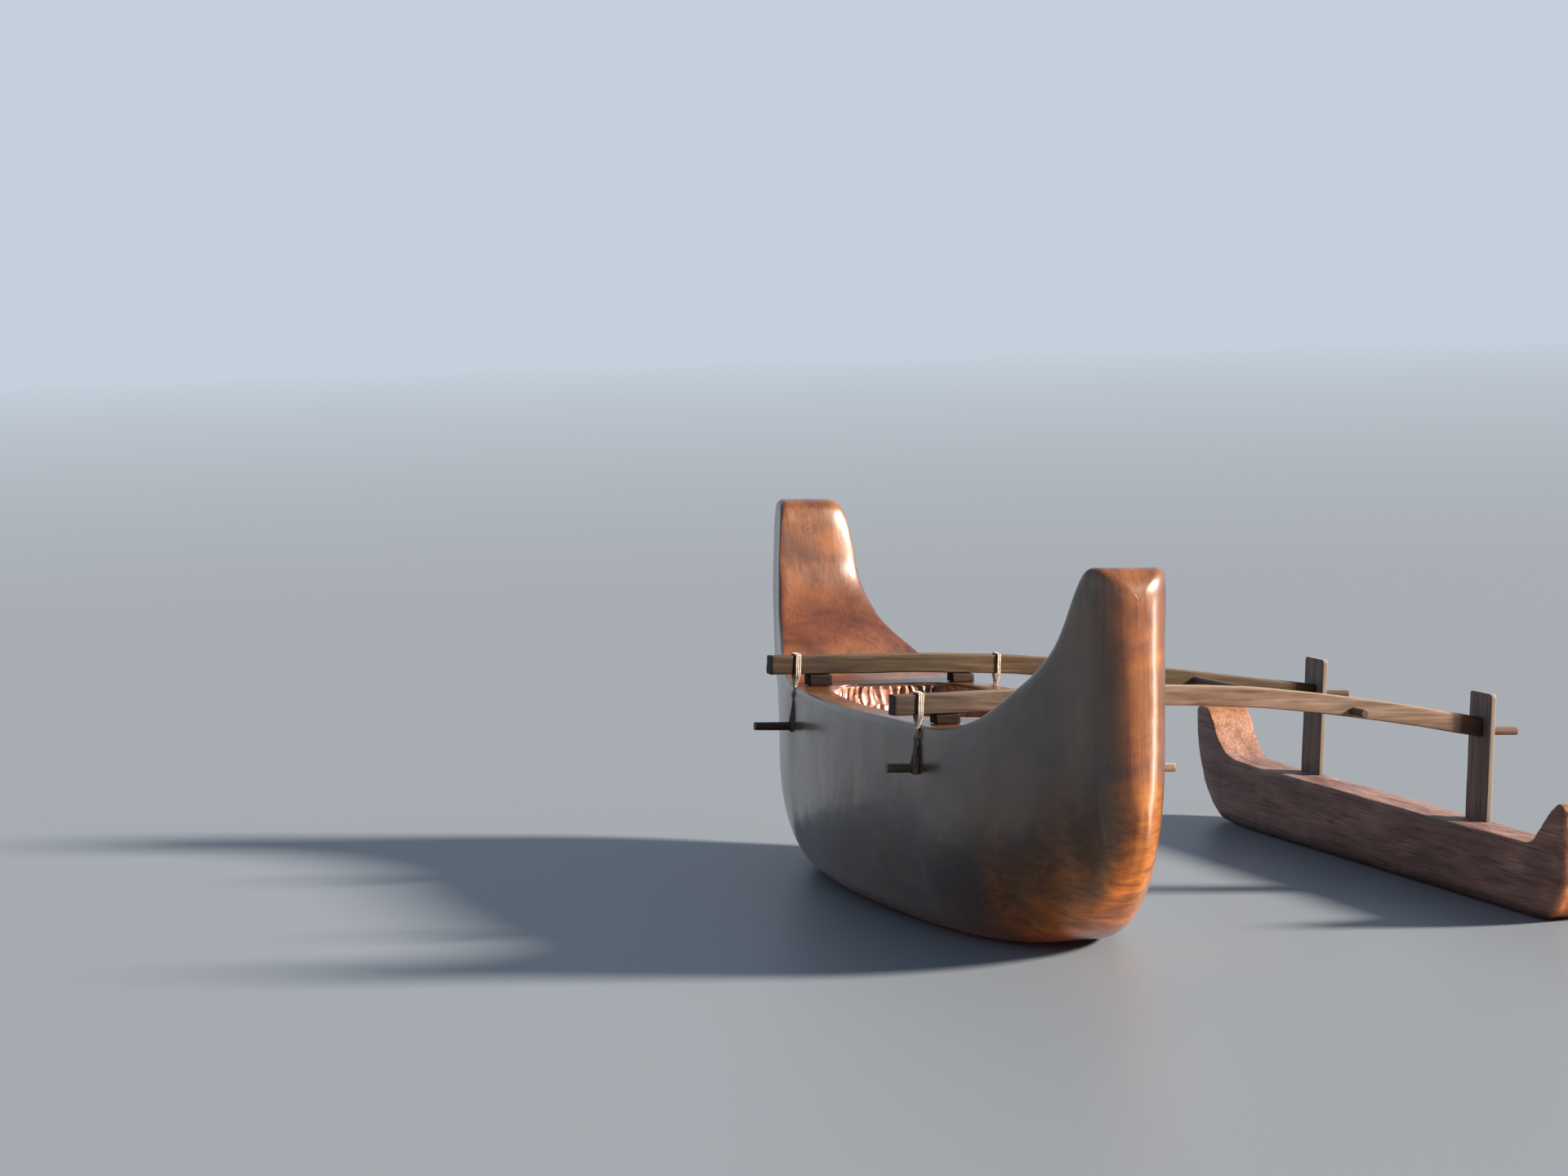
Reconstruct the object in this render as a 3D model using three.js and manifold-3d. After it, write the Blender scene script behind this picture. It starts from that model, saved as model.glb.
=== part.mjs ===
// Small wooden outrigger canoe: a carved hull, two arched booms lashed to rods through the hull, and a float
// pegged under the booms on two posts. Millimetres, +Z up, +Y along the hull, +X toward the float, with
// z = 0 on the floor under the hull and the float.
import * as THREE from "three";
import Module from "manifold-3d";
import { mergeVertices } from "three/addons/utils/BufferGeometryUtils.js";

const wasm = await Module();
wasm.setup();

// Driving dimensions.
const fit = 0.3;
const boomSpacing = 500;
const rigTilt = THREE.MathUtils.degToRad(3.7); // the booms and rods fall toward the float
const rimHeight = 256; // hull's rim under the booms, at the hull's middle plane
const rimFall = 0.037; // the rim drops this much toward the float for each millimetre across
const hollowLength = 434;
const hollowMiddle = 41; // the hollow reaches further toward the taller end
const hollowWidth = 218;
const hollowDepth = 150;
const hollowForm = { plan: 0.35, keel: 1.2, wall: 0.8, reach: 0.995 }; // powers of its curves, and end ring
const boomWidth = 22;
const boomHeight = 25.5;
const boomStart = -187.5; // free ends of the booms, in the rig's frame
const postFace = 612.5; // face of the posts toward the hull, in the rig's frame
const postThickness = 7.5;
const postWidth = 59;
const postTop = 293;
const postFoot = 107; // 22 mm below the float's deck
const tenonDiameter = 11.2;
const tenonHeight = 243;
const tenonEnd = 666;
const rodDiameter = 11.5;
const rodHeight = 197.5;
const stretcherDiameter = 11;
const stretcherX = 429;
const stretcherOverhang = 34;
const floatX = 604;
const cordDiameter = 3;
const lashingWidth = 7;
const spacerDepth = 24;

// The rig's own frame: its x axis runs along the rods.
const rig = new THREE.Group();
rig.rotation.y = rigTilt;
rig.updateMatrixWorld(true);

// Hull sections: half widths at the top, at the belly and of the flat bottom, then the heights of the bottom
// and of the top. The middle rows hold at both sides of the middle, and each end has rows of its own.
const hullMiddle = [
  { y: 0, top: 150, belly: 156, flat: 98, low: 0, high: 254 },
  { y: 60, top: 149, belly: 155, flat: 98, low: 0, high: 254 },
  { y: 120, top: 146, belly: 152, flat: 95, low: 0, high: 255 },
  { y: 180, top: 142, belly: 147, flat: 90, low: 0, high: 255.6 },
  { y: 232, top: 137.5, belly: 142, flat: 84, low: 0, high: rimHeight },
  { y: 268, top: 134, belly: 139.5, flat: 78, low: 0, high: rimHeight },
  { y: 310, top: 127, belly: 133.5, flat: 68, low: 0, high: 259 },
  { y: 353, top: 117, belly: 125, flat: 53, low: 1, high: 267 },
];
const hullNearEnd = [
  { y: 395, top: 106, belly: 113, flat: 36, low: 4, high: 282 },
  { y: 430, top: 96, belly: 101, flat: 25, low: 10, high: 301 },
  { y: 462, top: 87, belly: 91, flat: 17, low: 19, high: 322 },
  { y: 490, top: 79.5, belly: 82, flat: 13, low: 30, high: 341 },
  { y: 512, top: 72.5, belly: 74.5, flat: 11, low: 42, high: 360 },
  { y: 530, top: 66.5, belly: 68, flat: 10, low: 53, high: 379 },
  { y: 550, top: 61, belly: 60.5, flat: 9, low: 66, high: 407 },
  { y: 565, top: 57.5, belly: 56, flat: 9, low: 77, high: 433 },
  { y: 580, top: 55, belly: 51.5, flat: 9, low: 89, high: 455 },
  { y: 594, top: 52, belly: 47.5, flat: 8, low: 103, high: 469.5 },
  { y: 606, top: 49.5, belly: 44, flat: 8, low: 117, high: 472 },
  { y: 619, top: 44, belly: 38, flat: 8, low: 133, high: 468 },
  { y: 630, top: 34.5, belly: 29.5, flat: 7, low: 152, high: 460 },
  { y: 637, top: 23, belly: 19.5, flat: 5.5, low: 172, high: 450 },
  { y: 640, top: 13, belly: 10, flat: 4, low: 190, high: 442 },
];
const hullFarEnd = [
  { y: 395, top: 106, belly: 113, flat: 38, low: 4, high: 279 },
  { y: 430, top: 96, belly: 101, flat: 28, low: 9, high: 294 },
  { y: 462, top: 87, belly: 91, flat: 20, low: 17, high: 309 },
  { y: 490, top: 79, belly: 82.5, flat: 15, low: 28, high: 327 },
  { y: 512, top: 72, belly: 76, flat: 12, low: 39, high: 349 },
  { y: 528, top: 66, belly: 70.5, flat: 11, low: 50, high: 371 },
  { y: 539, top: 61, belly: 67, flat: 10, low: 58, high: 397 },
  { y: 546, top: 56.5, belly: 64.5, flat: 10, low: 63, high: 437 },
  { y: 552, top: 52.5, belly: 62.5, flat: 10, low: 68, high: 465 },
  { y: 560, top: 49.5, belly: 60, flat: 9, low: 74, high: 481 },
  { y: 574, top: 47, belly: 57, flat: 9, low: 85, high: 488 },
  { y: 594, top: 44.5, belly: 53, flat: 8, low: 103, high: 490 },
  { y: 612, top: 41, belly: 48, flat: 8, low: 124, high: 487 },
  { y: 626, top: 37, belly: 42, flat: 7, low: 145, high: 479 },
  { y: 635, top: 32, belly: 35, flat: 6, low: 165, high: 468 },
  { y: 640, top: 25, belly: 27, flat: 5, low: 188, high: 456 },
];
const turned = (rows) => rows.map((row) => ({ ...row, y: -row.y })).reverse();
const hullSections = [...turned(hullNearEnd), ...turned(hullMiddle.slice(1)), ...hullMiddle, ...hullFarEnd];
const hullForm = { bellyAt: 0.55, power: 2.3, edge: 6, fall: rimFall, widestGap: 30, highestStep: 13 };

// Float sections about the line x = floatX, with the columns of the hull's.
const floatSections = [
  { y: -568, top: 22, belly: 23, flat: 12, low: 76, high: 137 },
  { y: -564, top: 27, belly: 28, flat: 14, low: 60, high: 144 },
  { y: -555, top: 29, belly: 30, flat: 16, low: 43, high: 148 },
  { y: -542, top: 30, belly: 31, flat: 19, low: 22, high: 142 },
  { y: -524, top: 31, belly: 32, flat: 22, low: 5, high: 128 },
  { y: -504, top: 31, belly: 32, flat: 24, low: 0, high: 109 },
  { y: -487, top: 31, belly: 32, flat: 26, low: 0, high: 96 },
  { y: -465, top: 31, belly: 32, flat: 26, low: 0, high: 91 },
  { y: -290, top: 31, belly: 32, flat: 26, low: 0, high: 90 },
  { y: -100, top: 31, belly: 32, flat: 26, low: 0, high: 91 },
  { y: 100, top: 32, belly: 33, flat: 26, low: 0, high: 92 },
  { y: 290, top: 32, belly: 33, flat: 26, low: 0, high: 93 },
  { y: 400, top: 31, belly: 32, flat: 24, low: 0, high: 94.5 },
  { y: 425, top: 31, belly: 32, flat: 23, low: 1, high: 98 },
  { y: 448, top: 31.5, belly: 32, flat: 22, low: 2, high: 108 },
  { y: 465, top: 32, belly: 32.5, flat: 21, low: 4, high: 124 },
  { y: 479, top: 32, belly: 32.5, flat: 20, low: 9, high: 144 },
  { y: 489, top: 32, belly: 32.5, flat: 19, low: 13, high: 156 },
  { y: 503, top: 32, belly: 32.5, flat: 18, low: 22, high: 161 },
  { y: 515, top: 31.5, belly: 32, flat: 17, low: 34, high: 162 },
  { y: 526, top: 31, belly: 31.5, flat: 16, low: 57, high: 161 },
  { y: 536, top: 29.5, belly: 30, flat: 14, low: 86, high: 158 },
  { y: 542, top: 26, belly: 27, flat: 11, low: 110, high: 151 },
];
const floatForm = { bellyAt: 0.5, power: 2.6, edge: 3, fall: 0.06, widestGap: 80, highestStep: 12 };

// Booms: arc = heights of the centre line along x in the rig's frame, rod = height of the stretcher's hole.
const booms = [
  {
    side: "near",
    y: -boomSpacing / 2,
    rodSpan: [-191, 191],
    stretcherHeight: 269,
    arc: [
      [boomStart, 275], [-67, 280.5], [60, 286.5], [172, 288.7], [282, 286.5], [376, 279.3], [500, 265],
      [postFace, 248.5],
    ],
  },
  {
    side: "far",
    y: boomSpacing / 2,
    rodSpan: [-205, 191],
    stretcherHeight: 262,
    arc: [
      [boomStart, 280], [-67, 282.4], [25, 284], [126, 283.4], [204, 280], [385, 265.5], [500, 254.4],
      [postFace, 244],
    ],
  },
];
const spacerSpans = { left: [-116, -84], right: [88, 119] };
const lashingPlaces = { left: -157, right: 137 };

// Woods and cord: colour, roughness.
const woods = {
  varnished: [0xa5623a, 0.25],
  weathered: [0x8a6e50, 0.75],
  dark: [0x4a3a30, 0.7],
  reddish: [0x6b4434, 0.6],
  pale: [0x9c7a54, 0.6],
  cord: [0xe0d2b4, 0.9],
};

const group = new THREE.Group();

function addPiece(parent, name, geometry, wood) {
  const [color, roughness] = woods[wood];
  const material = new THREE.MeshStandardMaterial({ color, roughness, metalness: 0 });
  const mesh = new THREE.Mesh(geometry, material);
  mesh.name = name;
  parent.add(mesh);
  return mesh;
}

// Monotone cubic through the points of a table, so a section never overshoots its neighbours.
function smooth(xs, ys) {
  const slope = xs.slice(1).map((x, i) => (ys[i + 1] - ys[i]) / (x - xs[i]));
  const tangent = xs.map((_, i) => {
    if (i === 0) return slope[0];
    if (i === xs.length - 1) return slope[i - 1];
    const [a, b] = [slope[i - 1], slope[i]];
    return a * b <= 0 ? 0 : (2 * a * b) / (a + b);
  });
  return (x) => {
    let i = xs.length - 2;
    while (i > 0 && x < xs[i]) i -= 1;
    const h = xs[i + 1] - xs[i];
    const t = (x - xs[i]) / h;
    const u = 1 - t;
    const start = ys[i] * (1 + 2 * t) + h * t * tangent[i];
    const end = ys[i + 1] * (1 + 2 * u) - h * u * tangent[i + 1];
    return u * u * start + t * t * end;
  };
}

// Closed body through rings of equal size, with a fan over each end ring.
function loft(rings) {
  const count = rings[0].length;
  const positions = rings.flat().flatMap((p) => [p.x, p.y, p.z]);
  const index = [];
  for (let r = 0; r + 1 < rings.length; r += 1) {
    for (let i = 0; i < count; i += 1) {
      const j = (i + 1) % count;
      const [a, b, c, d] = [r * count + i, r * count + j, (r + 1) * count + j, (r + 1) * count + i];
      index.push(a, b, c, a, c, d);
    }
  }
  for (const [r, flip] of [[0, true], [rings.length - 1, false]]) {
    const middle = rings[r].reduce((sum, p) => sum.add(p), new THREE.Vector3()).divideScalar(count);
    const hub = positions.length / 3;
    positions.push(middle.x, middle.y, middle.z);
    for (let i = 0; i < count; i += 1) {
      const [a, b] = [r * count + i, r * count + ((i + 1) % count)];
      index.push(...(flip ? [hub, b, a] : [hub, a, b]));
    }
  }
  const geometry = new THREE.BufferGeometry();
  geometry.setAttribute("position", new THREE.Float32BufferAttribute(positions, 3));
  geometry.setIndex(index);
  return geometry;
}

function toSolid(geometry, matrix = new THREE.Matrix4()) {
  const bare = geometry.clone().applyMatrix4(matrix);
  bare.deleteAttribute("normal");
  bare.deleteAttribute("uv");
  const merged = mergeVertices(bare, 1e-4);
  const mesh = new wasm.Mesh({
    numProp: 3,
    vertProperties: new Float32Array(merged.attributes.position.array),
    triVerts: new Uint32Array(merged.index.array),
  });
  return new wasm.Manifold(mesh);
}

function toGeometry(solid) {
  const mesh = solid.getMesh();
  const geometry = new THREE.BufferGeometry();
  geometry.setAttribute("position", new THREE.Float32BufferAttribute(mesh.vertProperties, 3));
  geometry.setIndex(Array.from(mesh.triVerts));
  return geometry;
}

// Carved section across the canoe: flat bottom, round bilge, belly, then in to a flat top.
function carvedRing(y, centreX, { top, belly, flat, low, high }, { bellyAt, power, edge, fall }) {
  const bellyHeight = low + (high - low) * bellyAt;
  const half = [[flat, low]];
  const bilgeSteps = 9;
  for (let i = 1; i <= bilgeSteps; i += 1) {
    const angle = (i / bilgeSteps) * (Math.PI / 2);
    const out = Math.sin(angle) ** (2 / power);
    const down = i === bilgeSteps ? 0 : Math.cos(angle) ** (2 / power);
    half.push([flat + (belly - flat) * out, bellyHeight - (bellyHeight - low) * down]);
  }
  const sideSteps = 4;
  const sideTop = high - edge;
  for (let i = 1; i <= sideSteps; i += 1) {
    const t = i / sideSteps;
    half.push([belly - (belly - top) * t * t, bellyHeight + (sideTop - bellyHeight) * t]);
  }
  const edgeSteps = 3;
  for (let i = 1; i <= edgeSteps; i += 1) {
    const angle = (i / edgeSteps) * (Math.PI / 2);
    half.push([top - edge + edge * Math.cos(angle), sideTop + edge * Math.sin(angle)]);
  }
  // The top slopes down toward the float, and the slope fades out down the sides.
  const place = (x, z) => {
    const rise = Math.max(0, z - bellyHeight) / (high - bellyHeight);
    return new THREE.Vector3(centreX + x, y, z - x * fall * rise);
  };
  const right = half.map(([x, z]) => place(x, z));
  const left = half.map(([x, z]) => place(-x, z)).reverse();
  return [...right, ...left].reverse();
}

// Rings at every section of the table, and more between neighbours that are far apart or differ in height.
function carvedBody(sections, form, centreX) {
  const ys = sections.map((s) => s.y);
  const columns = ["top", "belly", "flat", "low", "high"];
  const curves = Object.fromEntries(columns.map((c) => [c, smooth(ys, sections.map((s) => s[c]))]));
  const places = sections.slice(1).flatMap((section, i) => {
    const last = sections[i];
    const rise = Math.max(Math.abs(section.high - last.high), Math.abs(section.low - last.low));
    const steps = Math.ceil(Math.max((section.y - last.y) / form.widestGap, rise / form.highestStep));
    return Array.from({ length: steps }, (_, k) => last.y + ((section.y - last.y) * k) / steps);
  });
  places.push(ys[ys.length - 1]);
  const sizesAt = (y) => Object.fromEntries(columns.map((c) => [c, curves[c](y)]));
  return loft(places.map((y) => carvedRing(y, centreX, sizesAt(y), form)));
}

// Bowl-shaped cutter of the hollow: a blunt oval plan, deepest in its middle, open above the rim.
function hollowCutter() {
  const rings = [];
  const lengthSteps = 24;
  const wallSteps = 20;
  const openTop = 320; // clear above the rim
  for (let i = 0; i <= lengthSteps; i += 1) {
    const along = -Math.cos((i / lengthSteps) * Math.PI) * hollowForm.reach;
    const shrink = Math.sqrt(1 - along * along);
    const y = hollowMiddle + (hollowLength / 2) * along;
    const halfWidth = (hollowWidth / 2) * shrink ** hollowForm.plan;
    const depth = hollowDepth * shrink ** hollowForm.keel;
    const ring = [];
    for (let k = 0; k <= wallSteps; k += 1) {
      const angle = (k / wallSteps) * Math.PI;
      const across = Math.cos(angle);
      const down = Math.sin(angle) ** hollowForm.wall;
      ring.push(new THREE.Vector3(halfWidth * across, y, rimHeight - depth * down));
    }
    ring.push(new THREE.Vector3(-halfWidth, y, openTop));
    ring.push(new THREE.Vector3(halfWidth, y, openTop));
    rings.push(ring);
  }
  return loft(rings);
}

function rodAlongX(diameter, from, to, y, z, sides = 24) {
  const geometry = new THREE.CylinderGeometry(diameter / 2, diameter / 2, to - from, sides);
  geometry.rotateZ(Math.PI / 2);
  geometry.translate((from + to) / 2, y, z);
  return geometry;
}

// Round stick between two points, for the stretcher and its holes.
function stick(diameter, start, end, sides = 24) {
  const direction = end.clone().sub(start);
  const geometry = new THREE.CylinderGeometry(diameter / 2, diameter / 2, direction.length(), sides);
  const upright = new THREE.Vector3(0, 1, 0);
  geometry.applyQuaternion(new THREE.Quaternion().setFromUnitVectors(upright, direction.clone().normalize()));
  const middle = start.clone().add(end).divideScalar(2);
  geometry.translate(middle.x, middle.y, middle.z);
  return geometry;
}

// Outline in the rig's upright plane across the rods: shape (x, y, depth) becomes (y, z, x).
function extrudeAlongX(outline, start, depth, y) {
  const geometry = new THREE.ExtrudeGeometry(outline, { depth, bevelEnabled: false, curveSegments: 12 });
  geometry.applyMatrix4(new THREE.Matrix4().set(0, 0, 1, start, 1, 0, 0, y, 0, 1, 0, 0, 0, 0, 0, 1));
  return geometry;
}

function boomCurve(boom) {
  return smooth(boom.arc.map((p) => p[0]), boom.arc.map((p) => p[1]));
}

// Point on the stretcher's line, a given distance beyond the boom centres at each end.
function stretcherPoint(beyond) {
  const [near, far] = booms;
  const end = beyond < 0 ? near.y + beyond : far.y + beyond;
  const rise = (far.stretcherHeight - near.stretcherHeight) / (far.y - near.y);
  return new THREE.Vector3(stretcherX, end, near.stretcherHeight + rise * (end - near.y));
}

function makeHull() {
  const through = 260; // clear of both sides
  let solid = toSolid(carvedBody(hullSections, hullForm, 0)).subtract(toSolid(hollowCutter()));
  for (const boom of booms) {
    const bore = rodAlongX(rodDiameter + 2 * fit, -through, through, boom.y, rodHeight);
    solid = solid.subtract(toSolid(bore, rig.matrixWorld));
  }
  return toGeometry(solid);
}

function makeBoom(boom) {
  const centre = boomCurve(boom);
  const steps = 32;
  const soft = 2; // worn edges
  const tenonRoot = 20; // the peg starts this far inside the boom's end
  const through = 100; // the stretcher's hole runs clear of both booms
  const rings = [];
  const end = postFace - fit;
  for (let i = 0; i <= steps; i += 1) {
    const x = boomStart + ((end - boomStart) * i) / steps;
    const [w, h] = [boomWidth / 2, boomHeight / 2];
    const outline = [
      [w - soft, -h], [w, -h + soft], [w, h - soft], [w - soft, h],
      [-w + soft, h], [-w, h - soft], [-w, -h + soft], [-w + soft, -h],
    ];
    rings.push(outline.map(([y, z]) => new THREE.Vector3(x, boom.y + y, centre(x) + z)));
  }
  const tenon = rodAlongX(tenonDiameter, end - tenonRoot, tenonEnd, boom.y, tenonHeight);
  const hole = stick(stretcherDiameter + 2 * fit, stretcherPoint(-through), stretcherPoint(through));
  return toGeometry(toSolid(loft(rings)).add(toSolid(tenon)).subtract(toSolid(hole)));
}

function makePost(boom) {
  const half = postWidth / 2;
  const corner = 4;
  const outline = new THREE.Shape();
  outline.moveTo(-half, postFoot);
  outline.lineTo(half, postFoot);
  outline.lineTo(half, postTop - corner);
  outline.absarc(half - corner, postTop - corner, corner, 0, Math.PI / 2);
  outline.absarc(-half + corner, postTop - corner, corner, Math.PI / 2, Math.PI);
  const hole = new THREE.Path();
  hole.absarc(0, tenonHeight, tenonDiameter / 2 + fit, 0, 2 * Math.PI, true);
  outline.holes.push(hole);
  return extrudeAlongX(outline, postFace, postThickness, boom.y);
}

function makeFloat() {
  const socketHeight = 80; // open above the deck
  let solid = toSolid(carvedBody(floatSections, floatForm, floatX));
  for (const boom of booms) {
    const socket = new THREE.BoxGeometry(postThickness + 2 * fit, postWidth + 2 * fit, socketHeight);
    socket.translate(postFace + postThickness / 2, boom.y, postFoot - fit + socketHeight / 2);
    solid = solid.subtract(toSolid(socket, rig.matrixWorld));
  }
  return toGeometry(solid);
}

// Spacer between the rim and the boom's underside, which is sloped and arched.
function makeSpacer(boom, [left, right]) {
  const underside = boomCurve(boom);
  const steps = 4;
  const topEdge = [];
  for (let i = 0; i <= steps; i += 1) {
    const x = left + ((right - left) * i) / steps;
    const rigX = x * Math.cos(rigTilt) - rimHeight * Math.sin(rigTilt);
    const rigZ = underside(rigX) - boomHeight / 2 - 2 * fit;
    const above = new THREE.Vector3(rigX, 0, rigZ).applyMatrix4(rig.matrixWorld);
    topEdge.push(new THREE.Vector2(x, above.z));
  }
  const footEdge = [left, right].map((x) => new THREE.Vector2(x, rimHeight + fit - x * rimFall));
  const outline = new THREE.Shape([...footEdge, ...topEdge.reverse()]);
  const geometry = new THREE.ExtrudeGeometry(outline, { depth: spacerDepth, bevelEnabled: false });
  // Shape (x, y, depth) becomes (x, z, -y).
  geometry.rotateX(Math.PI / 2);
  geometry.translate(0, boom.y + spacerDepth / 2, 0);
  return geometry;
}

// Cord bound round a boom and round the rod below it, drawn together between them.
function makeLashing(boom, x) {
  const middle = boomCurve(boom)(x);
  const clear = 0.7; // between the cord and the wood
  const shoulder = 6; // the strands draw in over this height below the boom
  const spread = 8; // and open out again over this height above the rod
  const soft = 2;
  const [w, h] = [boomWidth / 2 + clear, boomHeight / 2 + clear];
  const [outerW, outerH] = [w + cordDiameter, h + cordDiameter];
  const rodRadius = rodDiameter / 2 + fit;
  const outerRadius = rodRadius + cordDiameter;
  const waist = cordDiameter;
  const waistTop = middle - outerH - shoulder;
  const waistLow = rodHeight + outerRadius + spread;
  const outline = new THREE.Shape();
  outline.moveTo(-outerW, middle + outerH - soft);
  outline.lineTo(-outerW, middle - h - 1);
  outline.lineTo(-waist, waistTop);
  outline.lineTo(-waist, waistLow);
  outline.lineTo(-outerRadius, rodHeight + 1);
  outline.absarc(0, rodHeight, outerRadius, Math.PI, 2 * Math.PI);
  outline.lineTo(outerRadius, rodHeight + 1);
  outline.lineTo(waist, waistLow);
  outline.lineTo(waist, waistTop);
  outline.lineTo(outerW, middle - h - 1);
  outline.lineTo(outerW, middle + outerH - soft);
  outline.lineTo(outerW - soft, middle + outerH);
  outline.lineTo(-outerW + soft, middle + outerH);
  const boomHole = new THREE.Path();
  boomHole.moveTo(-w, middle - h);
  boomHole.lineTo(w, middle - h);
  boomHole.lineTo(w, middle + h);
  boomHole.lineTo(-w, middle + h);
  const rodHole = new THREE.Path();
  rodHole.absarc(0, rodHeight, rodRadius, 0, 2 * Math.PI, true);
  outline.holes.push(boomHole, rodHole);
  return extrudeAlongX(outline, x - lashingWidth / 2, lashingWidth, boom.y);
}

addPiece(group, "hull", makeHull(), "varnished");
addPiece(group, "float", makeFloat(), "reddish");
for (const boom of booms) {
  const { side, rodSpan } = boom;
  addPiece(rig, `boom_${side}`, makeBoom(boom), "weathered");
  addPiece(rig, `post_${side}`, makePost(boom), "dark");
  addPiece(rig, `cross_rod_${side}`, rodAlongX(rodDiameter, ...rodSpan, boom.y, rodHeight), "pale");
  for (const [end, span] of Object.entries(spacerSpans)) {
    addPiece(group, `spacer_${side}_${end}`, makeSpacer(boom, span), "dark");
  }
  for (const [end, x] of Object.entries(lashingPlaces)) {
    addPiece(rig, `lashing_${side}_${end}`, makeLashing(boom, x), "cord");
  }
}
const overhang = boomWidth / 2 + stretcherOverhang;
const stretcher = stick(stretcherDiameter, stretcherPoint(-overhang), stretcherPoint(overhang));
addPiece(rig, "stretcher_rod", stretcher, "pale");
group.add(rig);

export default group;
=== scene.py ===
# Carved outrigger canoe: wood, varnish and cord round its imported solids. Metres, +Z up, float toward +X.
import bpy
import bmesh
import math
import random
from bisect import bisect
from mathutils import Matrix, Vector, noise


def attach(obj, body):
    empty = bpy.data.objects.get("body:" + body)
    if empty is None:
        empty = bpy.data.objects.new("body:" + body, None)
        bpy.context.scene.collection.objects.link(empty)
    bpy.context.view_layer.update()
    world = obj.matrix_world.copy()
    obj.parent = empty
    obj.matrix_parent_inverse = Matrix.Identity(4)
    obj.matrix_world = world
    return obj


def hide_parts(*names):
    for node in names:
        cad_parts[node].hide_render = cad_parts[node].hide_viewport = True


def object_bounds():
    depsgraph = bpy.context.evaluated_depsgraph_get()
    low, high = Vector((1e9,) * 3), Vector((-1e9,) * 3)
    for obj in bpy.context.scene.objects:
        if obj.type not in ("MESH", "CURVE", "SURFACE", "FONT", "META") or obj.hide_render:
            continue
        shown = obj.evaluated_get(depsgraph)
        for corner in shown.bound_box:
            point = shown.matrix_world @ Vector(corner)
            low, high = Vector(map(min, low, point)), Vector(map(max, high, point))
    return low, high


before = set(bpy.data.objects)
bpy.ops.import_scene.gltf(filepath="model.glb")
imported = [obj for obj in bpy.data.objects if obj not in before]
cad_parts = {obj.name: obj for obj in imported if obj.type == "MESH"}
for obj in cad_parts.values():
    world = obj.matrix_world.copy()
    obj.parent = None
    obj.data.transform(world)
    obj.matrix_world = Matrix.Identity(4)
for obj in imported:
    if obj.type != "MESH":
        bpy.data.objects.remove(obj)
cadLow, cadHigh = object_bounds()
mm = 0.001
rigTilt = math.radians(3.7)  # booms and rods fall toward the float
rigTurn = Matrix.Rotation(rigTilt, 4, "Y")
print("frame loaded:", len(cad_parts), "nodes")


def linearColour(hexCode):
    parts = [int(hexCode[i:i + 2], 16) / 255 for i in (1, 3, 5)]
    return [c / 12.92 if c < 0.04045 else ((c + 0.055) / 1.055) ** 2.4 for c in parts] + [1.0]


def addNode(tree, kind, settings=None, links=None, stops=()):
    # settings and links name a setting or a socket, stops are the places and colours of a ramp
    node = tree.nodes.new(kind)
    for name, value in (settings or {}).items():
        if isinstance(name, str) and hasattr(node, name):
            setattr(node, name, value)
        else:
            node.inputs[name].default_value = value
    for name, source in (links or {}).items():
        socket = source if isinstance(source, bpy.types.NodeSocket) else source.outputs[0]
        tree.links.new(socket, node.inputs[name])
    for i, (position, colour) in enumerate(stops):
        elements = node.color_ramp.elements
        element = elements[i] if i < len(elements) else elements.new(position)
        element.position = position
        element.color = linearColour(colour)
    return node


def startMaterial(name, base):
    material = bpy.data.materials.new(name)
    material.use_nodes = True
    tree = material.node_tree
    shader = tree.nodes["Principled BSDF"]
    for socket, value in base.items():
        shader.inputs[socket].default_value = value
    place = addNode(tree, "ShaderNodeTexCoord").outputs["Object"]
    return material, tree, shader, place


def perMm(x, y, z):
    # scale of a pattern whose marks measure x, y and z millimetres
    return (1000 / x, 1000 / y, 1000 / z)


def fromTo(start, end):
    # a mask fades in between these two values
    return {"From Min": start, "From Max": end}


# A finish holds its colours, the sizes of its marks in millimetres, and the places in metres and the slopes
# of the surface, as parts of its normal, between which a colour fades in
hullFinish = {
    "dark": "#472611", "middle": "#603815", "light": "#78491E", "streakShade": "#C4BDB6", "sides": "#8C93A9",
    "scuffDark": "#542E10", "scuffBrown": "#7A4C1C", "scuffGoldAndBounceLight": "#9E6226", "farFoot": "#DDC2AE",
    "foot": "#6E5A4C", "knotHeart": "#D8C8BE", "knotRing": "#D2C0B6",
    "blotch": (75, 90, 60), "streak": (3, 8, 130), "grain": (4, 160, 6), "scuffAndBounceSize": (70, 40, 16),
    "waves": (22, 40, 34), "knot": (17, 60, 13), "knotAt": (-0.0105, 0.548, 0.449),
    "deckSlope": (0.45, 0.75), "flankSlope": (0.45, 0.95), "stemSlope": (0.30, 0.62),
    "scuffAndBounceHeights": (0.24, 0.10), "farEnd": (0.36, 0.47), "farFootHeights": (0.47, 0.31),
    "contactShadeHeights": (0.034, 0.004),
}


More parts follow.
